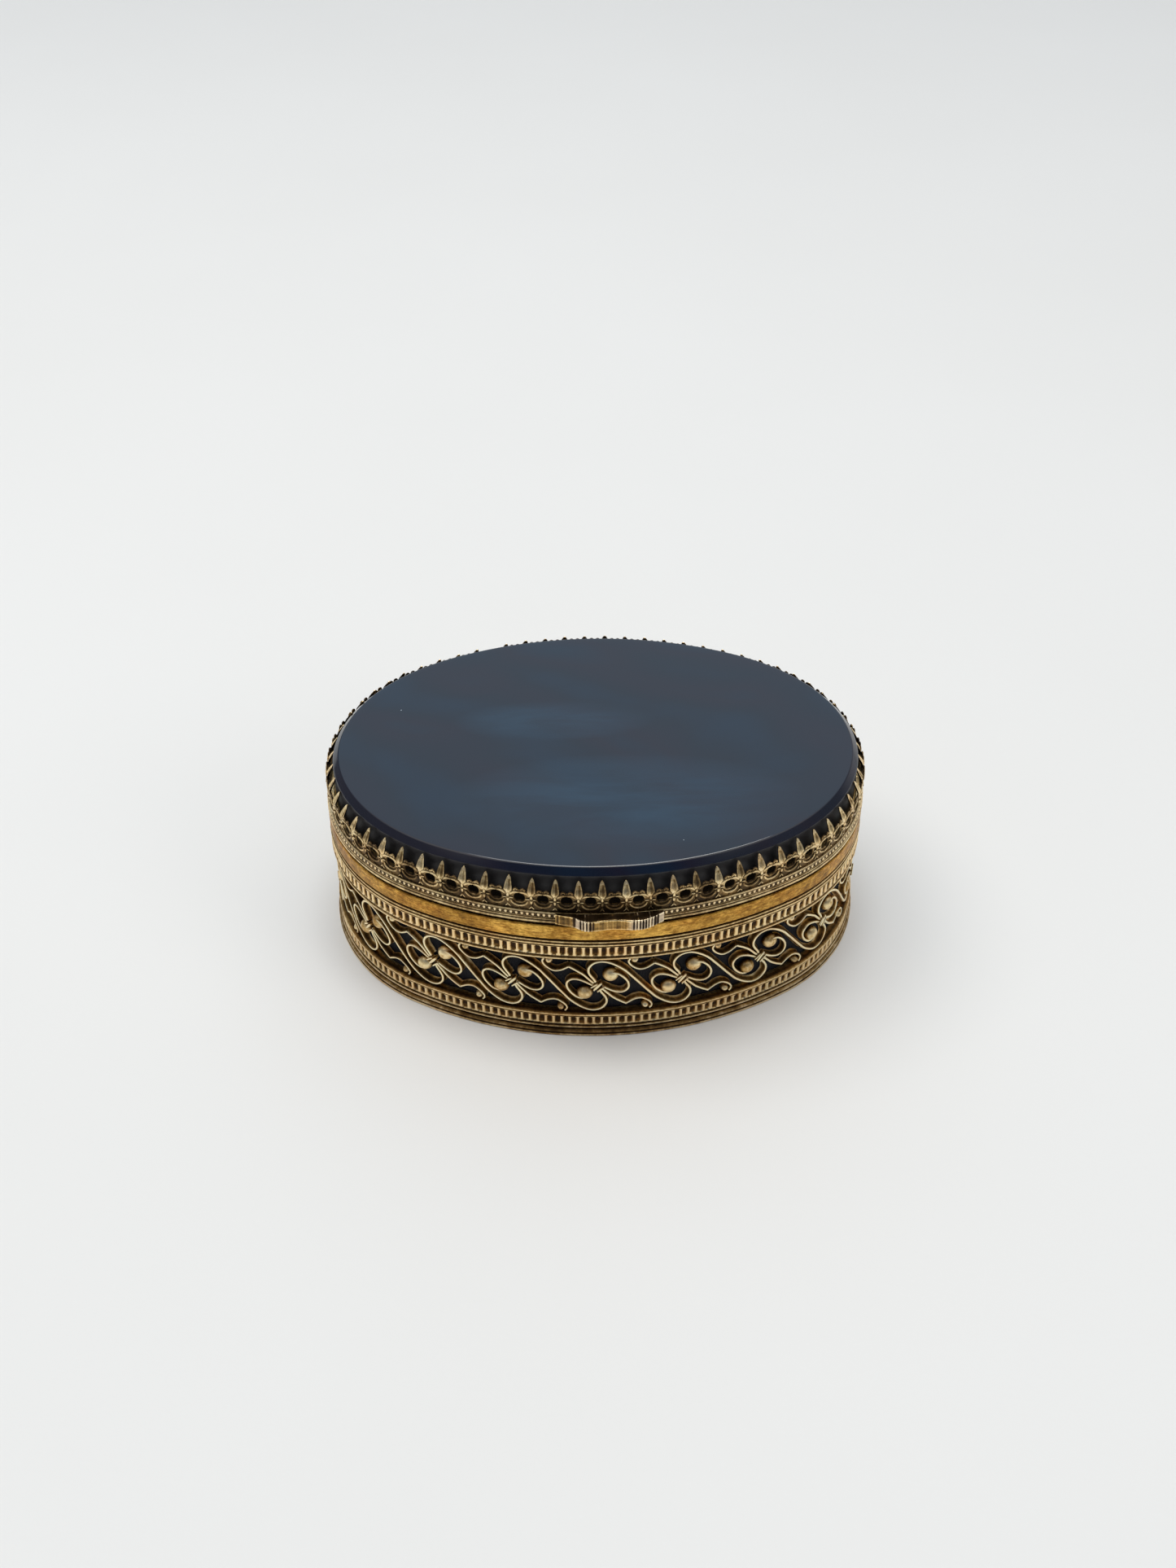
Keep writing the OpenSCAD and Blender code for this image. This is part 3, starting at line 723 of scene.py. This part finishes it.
def tube(build, path, radius, sides=7, flat=0.8, ends=0.45, rub=0.12):
    """A round wire along (x, out, up) points, thinning towards its ends."""
    p = np.asarray(path, float)
    t = np.gradient(p, axis=0)
    t /= np.linalg.norm(t, axis=1)[:, None] + 1e-9
    out = np.array([0, 1.0, 0])
    side = np.cross(t, out)
    side /= np.linalg.norm(side, axis=1)[:, None] + 1e-9
    k = np.linspace(-1, 1, len(p))
    size = radius * (1 - ends * np.abs(k) ** 4)
    a = np.arange(sides) * 2 * math.pi / sides
    pts = (p[:, None] + size[:, None, None] * (np.cos(a)[None, :, None] * side[:, None]
           + flat * np.sin(a)[None, :, None] * out))
    build.grid(pts, False, True, caps=True, rub=np.broadcast_to(rub + 0.24 * np.sin(a), pts.shape[:2]))


def ball(build, centre, r, nu=10, nv=6):
    """A small round grain."""
    a = (np.arange(nu) * 2 * math.pi / nu)[:, None]
    v = np.linspace(-math.pi / 2 * 0.93, math.pi / 2 * 0.93, nv)
    surface = np.broadcast_arrays(np.cos(v) * np.cos(a), np.cos(v) * np.sin(a), np.sin(v))
    build.grid(np.array(centre) + r * np.stack(surface, -1), True, False, rub=0.1)
    build.cap_columns(nu, nv)


def bent(build, points, n, e, radius, rub=0.12):
    """A wire e outside the wall, through points (x along it, height above the strip's foot)."""
    x, z = spline(points, n).T
    tube(build, np.stack([x, np.full(n, e), STRIP_LO + z], 1), radius, rub=rub)


STRIP_BACK, STRIP_FACE = -0.5, -0.3


def strip_cell(build):
    """A cell of the pierced strip with an eight-sided hole and an arched top."""
    a = np.arange(32) * 2 * math.pi / 32 + math.pi / 32

    def top(x):
        """The arched top's height at x."""
        return STRIP_LO + 2.45 + 0.28 * math.cos(x / HP * math.pi / 2) ** 2

    edge = []
    for t in a:
        dx, dz = math.cos(t), math.sin(t)
        reach = top(0) - HOLE_Z if dz > 0 else HOLE_Z - STRIP_LO
        k = min(HP / abs(dx), reach / abs(dz))
        edge.append((dx * k, min(HOLE_Z + dz * k, top(dx * k))))

    def hole(k):
        """The hole's outline, k times its size."""
        flat = k / np.cos((a + math.pi / 8) % (math.pi / 4) - math.pi / 8)
        return np.stack([0.62 * np.cos(a) * flat, HOLE_Z + 0.7 * np.sin(a) * flat], 1)

    loops = [(hole(0.93), STRIP_BACK), (hole(1), STRIP_FACE - 0.05), (hole(1.1), STRIP_FACE + 0.05),
             (hole(1.24), STRIP_FACE), (edge, STRIP_FACE), (edge, STRIP_BACK)]
    pts = np.transpose([[(x, e, z) for x, z in loop] for loop, e in loops], (1, 0, 2))
    rub = np.broadcast_to([-0.34, -0.12, 0.12, -0.03, -0.03, -0.2], pts.shape[:2])
    build.grid(pts, True, True, rub=rub)


def claw(build, base_z, tip_z, e_base=-0.26, e_tip=-1.1):
    """A dished leaf bent in over the stone: raised rubbed edges, a rib up the middle, a blunt point. Its face
    carries painted light: a highlight beside the rib, one half lighter and a lighter foot.
    """
    nv, nu = 16, 11
    v = np.linspace(0, 1, nv)
    width = np.interp(v, [0, 0.12, 0.3, 0.5, 0.7, 0.86, 0.96, 1],
                      [0.28, 0.42, 0.48, 0.45, 0.36, 0.26, 0.17, 0.08])
    lean = e_base + (e_tip - e_base) * v ** 1.4
    z = base_z + (tip_z - base_z) * (v - 0.05 * np.sin(math.pi * v))
    u = np.linspace(-1, 1, nu)
    front, back = np.zeros((nv, nu, 3)), np.zeros((nv, nu, 3))
    rub = np.zeros((nv, 2 * nu))
    swell = np.sin(np.clip(v + 0.1, 0, 1) * math.pi)
    for j in range(nu):
        rim = 0.16 * abs(u[j]) ** 2.5 * swell + 0.03 * math.exp(-(u[j] / 0.2) ** 2)
        belly = 0.12 * np.sin(np.clip(v * 1.6, 0, 1) * math.pi) * (1 - u[j] ** 2)
        front[:, j] = np.stack([width * u[j], lean + rim + belly, z], 1)
        thick = 0.2 * (1 - 0.5 * abs(u[j]) ** 3)
        back[:, j] = np.stack([width * u[j] * 0.96, lean + rim - thick, z - 0.03], 1)
        edge = smoothstep(0.45, 0.85, abs(u[j]))
        # painted light on the face: a highlight just beside the rib, the half at negative u lighter, and a
        # lighter foot; the rims are rubbed wear
        rib = 0.16 * math.exp(-((u[j] + 0.12) / 0.2) ** 2)
        painted_side_light = 0.1 * (u[j] < 0) * (1 - edge)
        rub[:, j] = 0.22 * edge - 0.1 * (1 - edge) * smoothstep(0.25, 0.6, v)
        rub[:, j] += 0.2 * (1 - smoothstep(0.1, 0.3, v)) + rib + painted_side_light
    rub[:, nu:] = -0.45
    rub[-3:, :nu] = 0.3
    loop = np.concatenate([front, back[:, ::-1]], 1)
    build.grid(loop, False, True, caps=True, rub=rub)


cell = Build()
strip_cell(cell)
WIRE_E = -0.24
bent(cell, [(-1.0, 1.4), (-0.84, 0.98), (-0.42, 0.68), (0, 0.6), (0.42, 0.68), (0.84, 0.98), (1.0, 1.4)],
     16, WIRE_E, 0.15, -0.03)
for way in (1, -1):
    bent(cell, [(way * 0.74, 1.66), (way * 0.95, 1.64), (way * 1.2, 1.66)], 6, WIRE_E, 0.11)
    bent(cell, [(way * 1.1, 2.15), (way * 0.8, 2.5), (way * 0.42, 2.66), (way * 0.02, 2.62)],
         10, WIRE_E - 0.02, 0.2, 0.06)
    bent(cell, [(way * 0.55, 2.68), (way * 0.62, 2.95), (way * 0.42, 3.12), (way * 0.2, 3.0),
                (way * 0.24, 2.78)], 10, WIRE_E - 0.06, 0.15, -0.06)
ball(cell, (0, WIRE_E - 0.05, STRIP_LO + 2.84), 0.13)
ball(cell, (0, WIRE_E, STRIP_LO + 0.16), 0.09, 8, 5)

post = Build()
claw(post, STRIP_LO + 2.15, cg_hi[2] + 0.02)
tube(post, [(0, WIRE_E, STRIP_LO + 1.0 + 0.13 * i) for i in range(11)], 0.17, 8, 0.7, 0.5)
ball(post, (0, WIRE_E + 0.02, HOLE_Z - 0.12), 0.2)
ball(post, (0, WIRE_E + 0.01, STRIP_LO + 0.72), 0.14)
for way in (-1, 1):
    bent(post, [(way * 0.3, 0.22), (way * 0.12, 0.42), (0, 0.6)], 6, WIRE_E, 0.06)

b = Build()
repeat(cell, b, (np.arange(FIRST, LAST) + 0.5) * C_PITCH)
repeat(post, b, np.arange(FIRST, LAST + 1) * C_PITCH, 0.045)
# the strip's lapped ends, with no hole
seam_s = (LAST + FIRST + CLAWS_ROUND) / 2 * C_PITCH
lap = Build()
lap_top = STRIP_LO + 2.4
sec = rounded([(STRIP_BACK, STRIP_LO), (STRIP_FACE, STRIP_LO), (STRIP_FACE, lap_top), (STRIP_BACK, lap_top)],
              0.06, 2)
xs = np.linspace(-0.75 * C_PITCH, 0.75 * C_PITCH, 12)
lap.grid(np.array([[(x, e, z) for e, z, _ in sec] for x in xs]), False, True, caps=True, rub=-0.28)
tube(lap, [(0.1, -0.28, STRIP_LO + 0.1 + 0.23 * i) for i in range(10)], 0.12, 6, 0.5)
repeat(lap, b, [seam_s])
b.obj("claw_strip", LID, DULL, "claw_gallery", gain=0.8, smooth=55)

# ---------------------------------------------------------------- stone, thumb piece
st_lo, st_hi = span("agate_slab")
# the slab's face is nearer a true ellipse than the frame: a far offset of the outline, scaled back
FAR = 30.06
FACE_X = (st_hi[0] - 0.70) / (HALF_L + FAR)
FACE_Y = (st_hi[1] - 1.51) / (HALF_W + FAR)
FACE_SHIFT = (0.03, -0.12)
BEVEL = 0.76
b = Build()
z0, z1 = st_lo[2], st_hi[2]
ns = 900
s = np.arange(ns) * LENGTH / ns
face = place(s, FAR, 0.0)[:, :2] / MM * (FACE_X, FACE_Y) + FACE_SHIFT
along_face = np.roll(face, -1, axis=0) - np.roll(face, 1, axis=0)
along_face /= np.linalg.norm(along_face, axis=1)[:, None]
outward = np.stack([along_face[:, 1], -along_face[:, 0]], 1)
SIDE, FACE = 0.5, -0.5  # rub that makes the wear map 1 on the stone's sides and 0 on its face
edge = [(BEVEL + 0.03, z0, SIDE), (BEVEL, z1 - BEVEL, SIDE), (0, z1, FACE), (-1.0, z1, FACE)]
edge = rounded(edge, 0.17, 8, False)
edge[:, 2] = np.where(edge[:, 1] < z1 - BEVEL + 0.01, SIDE, FACE)
edge = np.vstack([[(BEVEL - 0.4, z0, SIDE)], edge])
pts = np.zeros((ns, len(edge), 3))
for j, (off, z, _) in enumerate(edge):
    pts[:, j] = np.column_stack([face + outward * off, np.full(ns, z)]) * MM
uv = np.stack(np.broadcast_arrays(s[:, None] * MM, edge[None, :, 1] * MM), -1)
b.grid(pts, True, False, uv, rub=np.broadcast_to(edge[:, 2], pts.shape[:2]))
b.cap_columns(ns, len(edge))
b.obj("stone_lid", LID, STONE, "agate_slab", smooth=24, gain=0.0)

tp_lo, tp_hi = span("thumb_piece")
T_MID = (tp_lo[0] + tp_hi[0]) / 2
T_HALF = (tp_hi[0] - tp_lo[0]) / 2


def thumb_reach(u):
    """How far the thumb piece stands out at u along the wall: two lobes and a shallow dip between."""
    knots = [(-T_HALF, 0.34), (-5.3, 0.5), (-4.3, 0.66), (-3.7, 0.9), (-3.1, 1.26), (-2.5, 1.44),
             (-1.7, 1.36), (-0.6, 1.16), (0.4, 1.1), (1.4, 1.2), (2.5, 1.4), (3.3, 1.46), (4.0, 1.36),
             (4.8, 1.06), (5.5, 0.7), (T_HALF, 0.4)]
    return np.interp(u, *spline(knots, 400).T)


b = Build()
nu = 420
u = np.linspace(-T_HALF, T_HALF, nu)
reach = thumb_reach(u)
THUMB_RISE = 0.25
zb, zt = tp_lo[2] + THUMB_RISE, tp_hi[2] + THUMB_RISE
cut_left = smoothstep(-3.5, -3.2, u) * (1 - smoothstep(-2.0, -1.6, u))
cut_right = smoothstep(2.3, 2.7, u) * (1 - smoothstep(5.5, 5.8, u))
CUT_DEEP = 0.15
facet = 1 - np.abs(np.sin(u * math.pi / 0.36 + 0.5 * np.sin(1.7 * u)))
groove = (cut_left + cut_right) * CUT_DEEP * facet ** 0.8
groove += 0.012 * np.abs(np.sin(u * math.pi / 0.31)) * (np.abs(u) < 2.2)
groove += 0.05 * (u < -4.3) * np.abs(np.sin(u * math.pi / 0.5 + np.sin(3.1 * u)))
notch = 0.2 * np.exp(-((u + 3.95) / 0.16) ** 2)
sec = [(0.0, zb, GROOVE), (0.9, zb, GROOVE), (1.0, zb + 0.06, 0.3), (1.0, zb + 0.14, 0.06),
       (1.0, zb + 0.4, 0.0), (1.0, (zb + zt) / 2, 0.04), (1.0, zt - 0.4, 0.0), (1.0, zt - 0.16, 0.05),
       (0.98, zt - 0.05, 0.36), (0.93, zt, 0.2), (0.86, zt + 0.01, -0.4), (0.5, zt, -0.5), (0.0, zt, -0.5)]
pts = np.zeros((nu, len(sec), 3))
for j, (k, z, _) in enumerate(sec):
    e = 0.04 + (reach - 0.04) * k
    if k > 0.95:
        e = e - groove - notch * smoothstep(zb, zt, z)
    pts[:, j] = place(T_MID + u, e, z - 0.05 * smoothstep(5.2, T_HALF, u))
uv = np.stack(np.broadcast_arrays((u * MM)[:, None], np.array([z for _, z, _ in sec]) * MM), -1)
# painted glints: the rub rises and falls from facet to facet across the two cuts, so alternate facets show
# bright and dark as if catching light, with a smaller bright and dark ripple along the whole piece
glint = 0.2 * np.sin(u * math.pi / 0.72 + 0.8) * (cut_left + cut_right)
glint += 0.1 * np.sin(5.3 * u) * np.sin(2.2 * u)
rub = np.array([r for _, _, r in sec]) + (glint - 0.5 * groove / CUT_DEEP - 2.4 * notch)[:, None]
b.grid(pts, False, True, uv, caps=True, rub=rub)
b.obj("thumb_lift", LID, CUT, "thumb_piece", gain=1.2, smooth=32)

# ---------------------------------------------------------------- hinge
hb_lo, hb_hi = span("hinge_base_leaf")
pin_lo, pin_hi = span("hinge_pin")
AXIS_Y, AXIS_Z = (pin_lo[1] + pin_hi[1]) / 2, (pin_lo[2] + pin_hi[2]) / 2
PIN_R = (pin_hi[2] - pin_lo[2]) / 2
KNUCKLE_R = hb_hi[1] - AXIS_Y
KNUCKLES, KNUCKLE_GAP, BORE_PLAY = 5, 0.1, 0.05
SPAN = hb_hi[0] - hb_lo[0]
KNUCKLE_L = (SPAN - (KNUCKLES - 1) * KNUCKLE_GAP) / KNUCKLES
LEAF_FACE = AXIS_Y - KNUCKLE_R - 0.1
LEAF_GAP = 0.225


def lathe_x(build, section, x0, sides=40, wrap=True):
    """Turns a section of (x, radius, rub) about the hinge axis."""
    a = np.arange(sides) * 2 * math.pi / sides
    x, r, rub = np.asarray(section, float).T
    pts = np.stack([np.broadcast_to(x0 + x, (sides, len(x))), AXIS_Y + r * np.cos(a)[:, None],
                    AXIS_Z + r * np.sin(a)[:, None]], -1) * MM
    build.grid(pts, True, wrap, rub=np.broadcast_to(rub, pts.shape[:2]))


def hinge_leaf(name, body, node, numbers, z_far, way, wall):
    """A leaf hugging the wall with rolled knuckles on webs; way is -1 below the axis and +1 above."""
    build = Build()
    bore = PIN_R + BORE_PLAY
    x = np.linspace(-SPAN / 2, SPAN / 2, 60)
    wall_y = -SIDE_C + np.sqrt((SIDE_R + wall) ** 2 - x ** 2)
    lo, hi = sorted((AXIS_Z + way * LEAF_GAP, z_far))
    face = [(0, lo, -0.3), (1, lo, -0.1), (1, hi, 0.1), (0, hi, -0.3)]
    outline = rounded([(0.5 * k, z, rub) for k, z, rub in face], 0.12, 4)
    pts = np.zeros((len(x), len(outline), 3))
    for j, (k, z, _) in enumerate(outline):
        pts[:, j] = np.stack([x, wall_y + (LEAF_FACE - wall_y) * 2 * k, 0 * x + z], 1) * MM
    build.grid(pts, False, True, caps=True, rub=np.broadcast_to(outline[:, 2], pts.shape[:2]))
    for k in numbers:
        mid = k * (KNUCKLE_L + KNUCKLE_GAP)
        h = KNUCKLE_L / 2
        sec = [(-h, bore, -0.3), (-h, KNUCKLE_R, 0.1), (h, KNUCKLE_R, 0.1), (h, bore, -0.3)]
        sec = rounded(sec, 0.13, 4)
        sec[:, 2] += np.where(np.abs(sec[:, 0]) < h - 0.3, 0.0, 0.08)
        lathe_x(build, sec, mid)
        web = rounded([(LEAF_FACE - 0.2, AXIS_Z + way * 0.02), (AXIS_Y - bore - 0.12, AXIS_Z + way * 0.02),
                       (AXIS_Y - 0.62, AXIS_Z + way * 0.62), (AXIS_Y - 0.2, AXIS_Z + way * 0.95),
                       (LEAF_FACE - 0.2, AXIS_Z + way * KNUCKLE_R)], 0.06, 3)
        xs = np.array([-h + 0.06, -h + 0.02, h - 0.02, h - 0.06]) + mid
        centre = web[:, :2].mean(0)
        pts = np.array([[(x, *(centre + (q - centre) * f)) for q in web[:, :2]]
                        for x, f in zip(xs, (0.94, 1, 1, 0.94))]) * MM
        build.grid(pts, False, True, caps=True, rub=-0.1)
    build.obj(name, body, HINGE, node, smooth=38)


hinge_leaf("hinge_lower_leaf", BASE, "hinge_base_leaf", (-2, 0, 2), hb_lo[2], -1, 0.05)
hinge_leaf("hinge_upper_leaf", LID, "hinge_lid_leaf", (-1, 1), span("hinge_lid_leaf")[1][2], 1, 0.08)
b = Build()
half_pin = (pin_hi[0] - pin_lo[0]) / 2
end = [(half_pin, 0.02, 0.1), (half_pin, 0.6 * PIN_R, 0.1), (half_pin - 0.05, 0.88 * PIN_R, 0.2),
       (half_pin - 0.13, PIN_R, 0.1), (half_pin - 0.3, PIN_R, 0.0)]
lathe_x(b, [(-x, r, k) for x, r, k in end] + end[::-1], 0.0, 32, wrap=False)
b.cap_columns(32, 2 * len(end), -1)
b.obj("hinge_wire", BASE, HINGE, "hinge_pin")

# ---------------------------------------------------------------- linings
sl_lo, sl_hi = span("backing_sleeve")
b = Build()
SLEEVE_OUT = sl_hi[0] - HALF_L
LINING_T = 0.55
SLEEVE_IN = SLEEVE_OUT - LINING_T


def cloth_slack(s, e, z):
    """Shallow slack and a fine rib, on the sleeve's outer face only."""
    outside = e > SLEEVE_OUT - 0.1
    rib = 0.012 * np.sin(2 * math.pi * s / (LENGTH / 480))
    return np.where(outside, rib - 0.03 + 0.03 * np.sin(s * 1.9 + 2 * np.sin(z * 0.7)), 0.0), 0.0 * s


prof = [(SLEEVE_IN, sl_lo[2], 0.0), (SLEEVE_OUT, sl_lo[2], 0.0)]
prof += rows(SLEEVE_OUT, sl_lo[2] + 0.1, sl_hi[2] - 0.1, 13)
prof += [(SLEEVE_OUT, sl_hi[2], 0.0), (SLEEVE_IN, sl_hi[2], 0.0)]
ring(b, prof, 1920, relief=cloth_slack)
sleeve = b.obj("backing_cloth", BASE, BACKING, "backing_sleeve")

wl_lo, wl_hi = span("wall_lining")
L_OUT = wl_hi[0] - HALF_L
L_IN = L_OUT - LINING_T
L_ROLL = LINING_T / 2
PANELS = 20


def panel_swell(s, e, z):
    """Padded panels between sewn channels, fullest halfway up."""
    u = np.mod(s, LENGTH / PANELS) / (LENGTH / PANELS)
    seam_line = 0.16 * np.exp(-(np.minimum(u, 1 - u) / 0.03) ** 2)
    up = np.clip((z - wl_lo[2]) / (wl_hi[2] - wl_lo[2]), 0, 1)
    inside = (e < L_OUT - 0.15) & (z < wl_hi[2] - 0.3)
    move = -(0.12 * np.sin(math.pi * u) ** 0.5 * np.sin(math.pi * up) ** 0.5) + seam_line
    return np.where(inside, move, 0.0), 0.0 * s


b = Build()
prof = [(L_OUT, wl_lo[2], 0.0), (L_OUT, wl_hi[2] - 0.25, 0.0)]
roll = [(L_OUT + L_ROLL * (math.cos(t) - 1), wl_hi[2] + L_ROLL * (math.sin(t) - 1), 0.0)
        for t in np.linspace(0, 1.15 * math.pi, 12)]
prof += roll[1:] + [(L_IN + 0.07, wl_hi[2] - 0.5, 0.0)]
prof += rows(L_IN, wl_hi[2] - 0.75, wl_lo[2] + 0.1, 14) + [(L_IN, wl_lo[2], 0.0)]
ring(b, prof, PANELS * 48, relief=panel_swell)
lining = b.obj("velvet_wall", BASE, VELVET, "wall_lining", smooth=60)

QUILT = 7.2


def oval_pad(name, body, mat, node, outer, z_edge, z_face, swell):
    """A quilted oval pad: flat back at z_edge, crowned face at z_face, with a rolled edge and a sewn line."""
    way = 1 if z_face > z_edge else -1
    build = Build()
    ns, depth = 360, z_face - z_edge
    rim = place(np.arange(ns) * LENGTH / ns, outer, 0.0)[:, :2] / MM
    loops = [(1.0, z_edge), (1.0, z_edge + 0.35 * depth), (0.992, z_edge + 0.7 * depth),
             (0.98, z_edge + 0.92 * depth), (0.962, z_face), (0.945, z_face - way * 0.05),
             (0.932, z_face - way * 0.22), (0.92, z_face - way * 0.06)]
    loops += [(k, None) for k in np.linspace(0.9, 0.04, 44)]
    pts = np.zeros((ns, len(loops), 3))
    for j, (k, z) in enumerate(loops):
        x, y = (rim * k).T
        if z is None:
            crown = swell * (1 - (k / 0.92) ** 2) + 0.02
            a, b = (math.pi * (x + lean * y) / QUILT for lean in (1.3, -1.3))
            quilt = np.abs(np.sin(a) * np.sin(b))
            dimple = 0.5 * smoothstep(0.95, 0.82, k) * (1 - quilt ** 0.45)
            z = z_face + way * (crown * (1 - dimple) - 0.12 * dimple)
        pts[:, j] = np.column_stack([x, y, np.broadcast_to(z, ns)]) * MM
    build.grid(pts, True, False)
    build.cap_columns(ns, len(loops))
    if way < 0:
        build.f = [f[::-1] for f in build.f]
    build.obj(name, body, mat, node, smooth=60)


fp_lo, fp_hi = span("floor_pad")
oval_pad("floor_cushion", BASE, VELVET, "floor_pad", fp_hi[0] - HALF_L, fp_lo[2], fp_hi[2], 0.55)
ll_lo, ll_hi = span("lid_lining")
oval_pad("lid_cushion", LID, SILK, "lid_lining", ll_hi[0] - HALF_L, ll_hi[2], ll_lo[2] + 0.1, 0.3)

# ---------------------------------------------------------------- carried-over CAD nodes
for node in ("base_plate", "lid_plate"):
    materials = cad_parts[node].data.materials
    materials.clear()
    materials.append(BRASS)

# ---------------------------------------------------------------- floor, light, camera
me = bpy.data.meshes.new("floor")
R = 1.2
me.from_pydata([(-R, -R, 0), (R, -R, 0), (R, R, 0), (-R, R, 0)], [], [(0, 1, 2, 3)])
floor = bpy.data.objects.new("floor", me)
scene.collection.objects.link(floor)
table = Nodes(bpy.data.materials.new("pale_table"))
cream = table.ramp(table.noise(9, 3), [(0.3, (0.765, 0.758, 0.742)), (0.7, (0.78, 0.774, 0.76))])
table.set(Base_Color=cream, Roughness=0.75, Specular_IOR_Level=0.2)
table.bump(table.noise(900, 4), 0.00004, 0.3)
me.materials.append(table.owner)

world = bpy.data.worlds.new("studio")
scene.world = world
sky = Nodes(world, "OutputWorld", "Background")
towards = sky.new("TexCoord").outputs["Generated"]
# patches of the studio: direction, degrees from it where they are full and where they end, colour
PATCHES = [((0, 0, 1), 18, 54, (1.28, 1.265, 1.215)),
           ((0, 0.755, 0.656), 22, 40, (0.70, 0.86, 1.02)),
           ((0.656, 0.755, 0.0), 8, 42, (0.62, 0.64, 0.68)),
           ((0, -0.66, 0.75), 18, 34, (0.05, 0.07, 0.13))]
colour = (0.20, 0.21, 0.235)
for direction, full, end, patch in PATCHES:
    dot = sky.new("VectorMath", operation="DOT_PRODUCT")
    sky.link(towards, dot.inputs[0])
    dot.inputs[1].default_value = Vector(direction).normalized()
    near = sky.new("MapRange", interpolation_type="SMOOTHSTEP")
    sky.link(dot.outputs["Value"], near.inputs[0])
    near.inputs[1].default_value = math.cos(math.radians(end))
    near.inputs[2].default_value = math.cos(math.radians(full))
    colour = sky.mix(near.outputs[0], colour, patch)
sky.link(colour, sky.shader.inputs["Color"])

LAMPS_AT = Vector((0, 0, 0.01))


def area(name, where, size, power, colour, glossy=False):
    """A round lamp that either lights dull surfaces softly or is seen only as a highlight in glossy ones."""
    lamp = bpy.data.lights.new(name, "AREA")
    lamp.shape = "DISK"
    lamp.size = size
    lamp.energy = power
    lamp.color = colour
    o = bpy.data.objects.new(name, lamp)
    scene.collection.objects.link(o)
    o.location = where
    o.rotation_mode = "QUATERNION"
    o.rotation_quaternion = (LAMPS_AT - Vector(where)).to_track_quat("-Z", "Y")
    o.visible_glossy, o.visible_diffuse = glossy, not glossy
    o.visible_camera = False


area("overhead", (0.0, 0.06, 1.0), 0.42, 3.1, (1.0, 0.985, 0.94))
area("glint", (0.06, 0.45, 0.89), 0.42, 2.96, (1.0, 0.985, 0.94), glossy=True)
area("key", (-0.30, 0.10, 0.55), 0.35, 0.9, (1.0, 0.98, 0.95))
area("fill", (0.45, -0.25, 0.35), 0.3, 0.45, (1.0, 0.97, 0.93))

# the camera looks down by PITCH at AIM from REACH away, then camera and AIM turn by YAW about the z axis
YAW = math.radians(1.717)
PITCH = math.radians(41.12)
AIM = Vector((-0.923, 0, 18.63)) * MM
REACH = 202.35 * MM
turn = Matrix.Rotation(-YAW, 4, "Z")
forward = Vector((0, math.cos(PITCH), -math.sin(PITCH)))
cam = bpy.data.cameras.new("camera")
cam.sensor_width = 36
cam.lens = 37.404
cam.clip_start = 0.005
cam.clip_end = 10
cam_o = bpy.data.objects.new("camera", cam)
scene.collection.objects.link(cam_o)
cam_o.location = turn @ (AIM - forward * REACH)
cam_o.rotation_mode = "QUATERNION"
cam_o.rotation_quaternion = (turn @ forward).to_track_quat("-Z", "Y")
scene.camera = cam_o
scene.view_settings.view_transform = "Standard"
